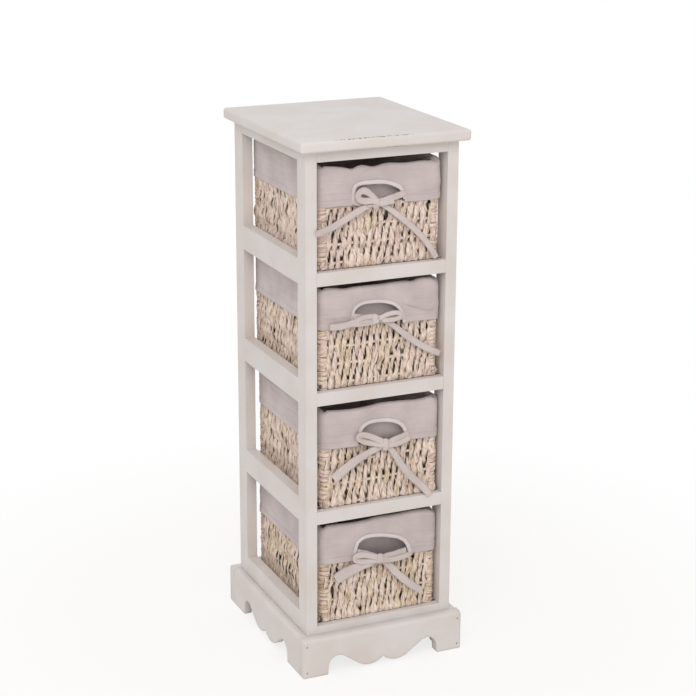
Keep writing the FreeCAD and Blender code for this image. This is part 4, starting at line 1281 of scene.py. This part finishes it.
def addLiner(bay):
    shape = linerShape
    low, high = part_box(f"basket_{bay}_weave")
    middle, half = (low + high) / 2, (high - low) / 2
    front, rim = low.y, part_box(f"basket_{bay}_liner")[1].z
    seed = 5.1 + 3.7 * bays.index(bay)
    flap = flapShape[bay]
    side = shape["sideSpacing"]
    outline = roundedOutline(half.x, half.y, weaveShape["corner"], shape["cornerSteps"],
                             (side, side, shape["frontSpacing"], side))

    def drawn(line, lower=0):
        return smoothLine([(x, front, rim + up - lower) for x, up in line])

    notch, crest = drawn(flap["notch"]), drawn(flap["crest"], shape["rollOver"])
    folds = [(drawn(line), deep) for line, deep in flap["folds"]]
    roll = (shape["clear"] + weaveShape["wall"] + shape["bagGap"]) / 2
    floorLevel = low.z + weaveShape["wall"] + shape["floorUp"]
    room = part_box("front_right_post")[0].x - high.x
    sideBulge = max(0, min(shape["sideBulge"], room - shape["clear"] - shape["bulgeClear"]))
    columns, drops, hems = [], [], []
    for point, outward, run in outline:
        frontal = outward.y < -0.999
        across = middle.x + point.x

        def wavy(name, row):
            deep, long = shape[name]
            return deep * noise.noise(Vector((run / long, seed, row)))

        share = (point.x + half.x) / (2 * half.x)
        edge = shape["sideEdge"]
        if outward.y < -0.5:
            edge = flap["left"] + (flap["right"] - flap["left"]) * share
        edge += wavy("edgeWave", 1)
        wave = wavy("rimWave", 2) + wavy("rimRipple", 3)
        crown = rim + wave * 0.6 - 0.5 * mm
        ahead = max(-outward.y, 0)
        if ahead:
            # Along the front and round its corners the crest is as drawn
            reach = min(max(across, crest[0].x + 0.1 * mm), crest[-1].x - 0.1 * mm)
            crown += (notchHeight(crest, reach) + wave * 0.15 - crown) * ahead
        crown -= shape["cornerDrop"] * abs(outward.x * outward.y) * 2
        bottom = rim + edge
        cut = notchHeight(notch, across) if frontal else None
        if cut is not None:
            bottom = max(bottom, cut)
        hemLine = rim + edge + shape["hem"]
        column, travelled = [], []

        def put(place):
            travelled.append((travelled[-1] + (place - column[-1]).length) if column else rim - bottom - 0.07)
            column.append(place)

        def putOut(out, height):
            put(Vector((across + outward.x * out, middle.y + point.y + outward.y * out, height)))

        # The flap stands off a little where it turns the right front corner
        nearFront = math.exp(-((point.y + half.y) / shape["bulgeReach"]) ** 2)
        bulge = sideBulge * max(outward.x, 0) * nearFront
        shoulder = crown - roll * shape["rollHigh"]
        for row in range(shape["flapRows"]):
            share = row / (shape["flapRows"] - 1)
            height = bottom + (shoulder - bottom) * share
            lumpy = 0.75 + 0.5 * noise.noise(Vector((height / shape["bulgeWave"], seed, 4)))
            out = bulge * lumpy * math.sin(math.pi * (0.25 + 0.65 * share))
            out += shape["hemThick"] * min(max((hemLine - height) / shape["hemStep"], 0), 1)
            out += foldOut(folds, across, height) if frontal else 0
            putOut(shape["clear"] + clothOut(run, height - rim, seed) + out, height)
        for row in range(1, shape["rimRows"]):
            share = row / shape["rimRows"]
            out = shape["clear"] - roll * (1 - math.cos(math.pi * share))
            out += clothOut(run, shoulder - rim, seed) * (1 - share)
            putOut(out, shoulder + roll * shape["rollHigh"] * math.sin(math.pi * share))
        # The bag hangs back a little behind the handle hole, and is slack below it
        aside = (point.x / (0.62 * weaveShape["holeWide"])) ** 2
        hang = flap["behind"] * max(0, 1 - aside) if frontal else 0
        deep, long, tall = shape["slack"]
        for row in range(shape["wallRows"]):
            fall = row / (shape["wallRows"] - 1)
            height = shoulder + (floorLevel + shape["floorTurn"] - shoulder) * fall
            slack = deep * noise.noise(Vector((run / long, height / tall, seed + 3)))
            swell = math.sin(math.pi * min(fall * 1.1, 1))
            back = max(slack, -shape["slackOut"]) * swell + hang * math.sin(math.pi * fall)
            back += shape["slackIn"] * min(max(fall - shape["slackFrom"], 0) * 6, 1)
            putOut(shape["clear"] - 2 * roll - back, height)
        start = column[-1]
        for row in range(1, shape["floorRows"] + 1):
            shrink = 1 - 0.96 * row / shape["floorRows"]
            place = Vector((middle.x + (start.x - middle.x) * shrink,
                            middle.y + (start.y - middle.y) * shrink, floorLevel))
            uneven = abs(noise.noise(Vector((place.x / 0.04, place.y / 0.05, seed))))
            place.z += shape["floorWave"] * uneven * (1 - shrink ** 6)
            put(place)
        columns.append(column)
        drops.append(travelled)
        # One on the hem's stitch line, and never near it inside the bag
        flapped = shape["flapRows"] + shape["rimRows"] - 1
        hems.append([1 + place.z - hemLine if row < flapped else 2 for row, place in enumerate(column)])
    rows = list(zip(*columns))
    marks = {"run": [run for row in rows for point, outward, run in outline],
             "drop": [value for row in zip(*drops) for value in row],
             "hem": [value for row in zip(*hems) for value in row]}
    name = f"basket_{bay}_liner"
    mesh = ringMesh(name + "_cloth", [rows], (False, True), marks)
    piece = makePiece(name + "_cloth", mesh, linerCotton, "basket_" + bay, "liner_cotton", name)
    wall = piece.modifiers.new("cloth thickness", "SOLIDIFY")
    wall.thickness = shape["thick"]
    wall.offset = 0
    addBinding(bay, notch, outline, middle, front, rim, seed)


# Bindings: a tape sewn flat round each notch, with a row of stitches along both of its edges

bindingShape = {
    "width": {"bottom": 6.8 * mm, "lower": 6.8 * mm, "upper": 5.8 * mm, "top": 6.8 * mm},
    "thick": 1.2 * mm, "cup": 0.25 * mm, "crumple": 0.25 * mm, "proud": 0.5 * mm,
    "stitch": 3.2 * mm, "stitchLong": 2.1 * mm, "stitchThick": 0.45 * mm,
    "stitchOut": 0.75 * mm, "stitchRow": 0.36,   # of the width, from the middle
}


def stitchTree():
    tree, add, given = newTree("stitches", {
        "Rows": "Object", "Spacing": "Float", "Long": "Float", "Thick": "Float", "Thread": "Material"})
    rows = add("GeometryNodeObjectInfo", [given["Rows"]]).outputs["Geometry"]
    spots = add("GeometryNodeCurveToPoints", {
        "Curve": rows, "Length": given["Spacing"]}, mode="LENGTH").outputs
    ball = add("GeometryNodeMeshUVSphere", {"Segments": 6, "Rings": 4, "Radius": 0.5})
    size = add("CombineXYZ", [given["Thick"], given["Thick"], given["Long"]])
    sewn = add("GeometryNodeInstanceOnPoints", {
        "Points": spots["Points"], "Instance": ball, "Rotation": spots["Rotation"], "Scale": size})
    endTree(add, sewn, given["Thread"])
    return tree


stitches = stitchTree()


def addBinding(bay, notch, outline, middle, front, rim, seed):
    shape = bindingShape
    wide, forward = shape["width"][bay], Vector((0, -1, 0))
    line = []
    for point in notch:
        run = frontRun(outline, point.x - middle.x)
        out = linerShape["clear"] + clothOut(run, point.z - rim, seed)
        out += linerShape["thick"] / 2 + shape["proud"]
        line.append(Vector((point.x, front - out, point.z)))
    rings, marks = ribbonRings(line, wide, shape["thick"], shape["cup"], shape["crumple"], seed,
                               lambda share, point: forward)
    tapePiece(f"basket_{bay}_binding", bay, [rings], marks, bindingCotton)
    rows = []
    for edge in (1, -1):
        row = []
        for number, point in enumerate(line):
            tangent = (line[min(number + 1, len(line) - 1)] - line[max(number - 1, 0)]).normalized()
            across = tangent.cross(forward).normalized()
            row.append(point + across * edge * wide * shape["stitchRow"] + forward * shape["stitchOut"])
        rows.append(row)
    sewn = grown(stitches, Rows=pathCurve("rows", rows), Spacing=shape["stitch"], Long=shape["stitchLong"],
                 Thick=shape["stitchThick"], Thread=bindingCotton)
    makePiece(f"basket_{bay}_stitches", sewn, bindingCotton, "basket_" + bay, "tie_tape")


for bay in bays:
    woven = addWeave(bay)
    addLiner(bay)
    print("basket made:", bay, len(woven.data.polygons), "leaf faces")


# Floor, light and backdrop

studio = {
    "floor": "#fbf6f1", "floorSize": 9, "floorDrop": 0.2 * mm, "ambient": 0.7,
    "keyPower": 42, "keyPlace": (-1.28, -2.15, 2.75), "keySize": 2.2, "keyColour": "#fff7f6",
    "aim": (0, 0, 0.45), "shadowShare": 0.22, "fadeStart": 0.3, "fadeEnd": 1.1,
}


def seenDirectly(add):
    # 1 for the camera and for what metal and glass show, 0 for light that falls on the object
    rays = add("LightPath").outputs
    mirrored = add("Math", [rays["Is Camera Ray"], rays["Is Glossy Ray"]], operation="MAXIMUM")
    return add("Math", [mirrored, rays["Is Transmission Ray"]], operation="MAXIMUM")


def addFloor():
    half = studio["floorSize"] / 2
    corners = [(-half, -half, 0), (half, -half, 0), (half, half, 0), (-half, half, 0)]
    mesh = newMesh("floor", corners, [(0, 1, 2, 3)])
    material, add = newMaterial("pale studio floor")
    place = add("TexCoord").outputs["Object"]
    away = add("VectorMath", [place], operation="LENGTH").outputs["Value"]
    fade = add("MapRange", [away, studio["fadeStart"], studio["fadeEnd"], 1 - studio["shadowShare"], 1],
               interpolation_type="SMOOTHSTEP")
    share = add("Math", [fade, seenDirectly(add)], operation="MULTIPLY")
    lit = add("BsdfDiffuse", {"Color": linear(studio["floor"])})
    white = add("Emission", {"Strength": 1})
    mixed = add("MixShader", [share, lit, white])
    add("OutputMaterial", {"Surface": mixed})
    mesh.materials.append(material)
    floor = addObject("floor", mesh)
    floor.location.z = -studio["floorDrop"]


def addLight():
    lamp = bpy.data.lights.new("key", "AREA")
    lamp.shape = "DISK"
    lamp.size = studio["keySize"]
    lamp.energy = studio["keyPower"]
    lamp.color = linear(studio["keyColour"])[:3]
    key = addObject("key", lamp)
    key.location = studio["keyPlace"]
    aim = Vector(studio["aim"]) - Vector(studio["keyPlace"])
    key.rotation_euler = aim.to_track_quat("-Z", "Y").to_euler()
    world = bpy.data.worlds.new("studio")
    bpy.context.scene.world = world
    world.use_nodes = True
    world.node_tree.nodes.clear()
    add = partial(addNode, world.node_tree)
    strength = add("MapRange", [seenDirectly(add), 0, 1, studio["ambient"], 1])
    sky = add("Background", {"Color": (1, 1, 1, 1), "Strength": strength})
    add("OutputWorld", {"Surface": sky})


addFloor()
addLight()
bpy.context.scene.view_settings.view_transform = "Standard"
print("floor and light made")
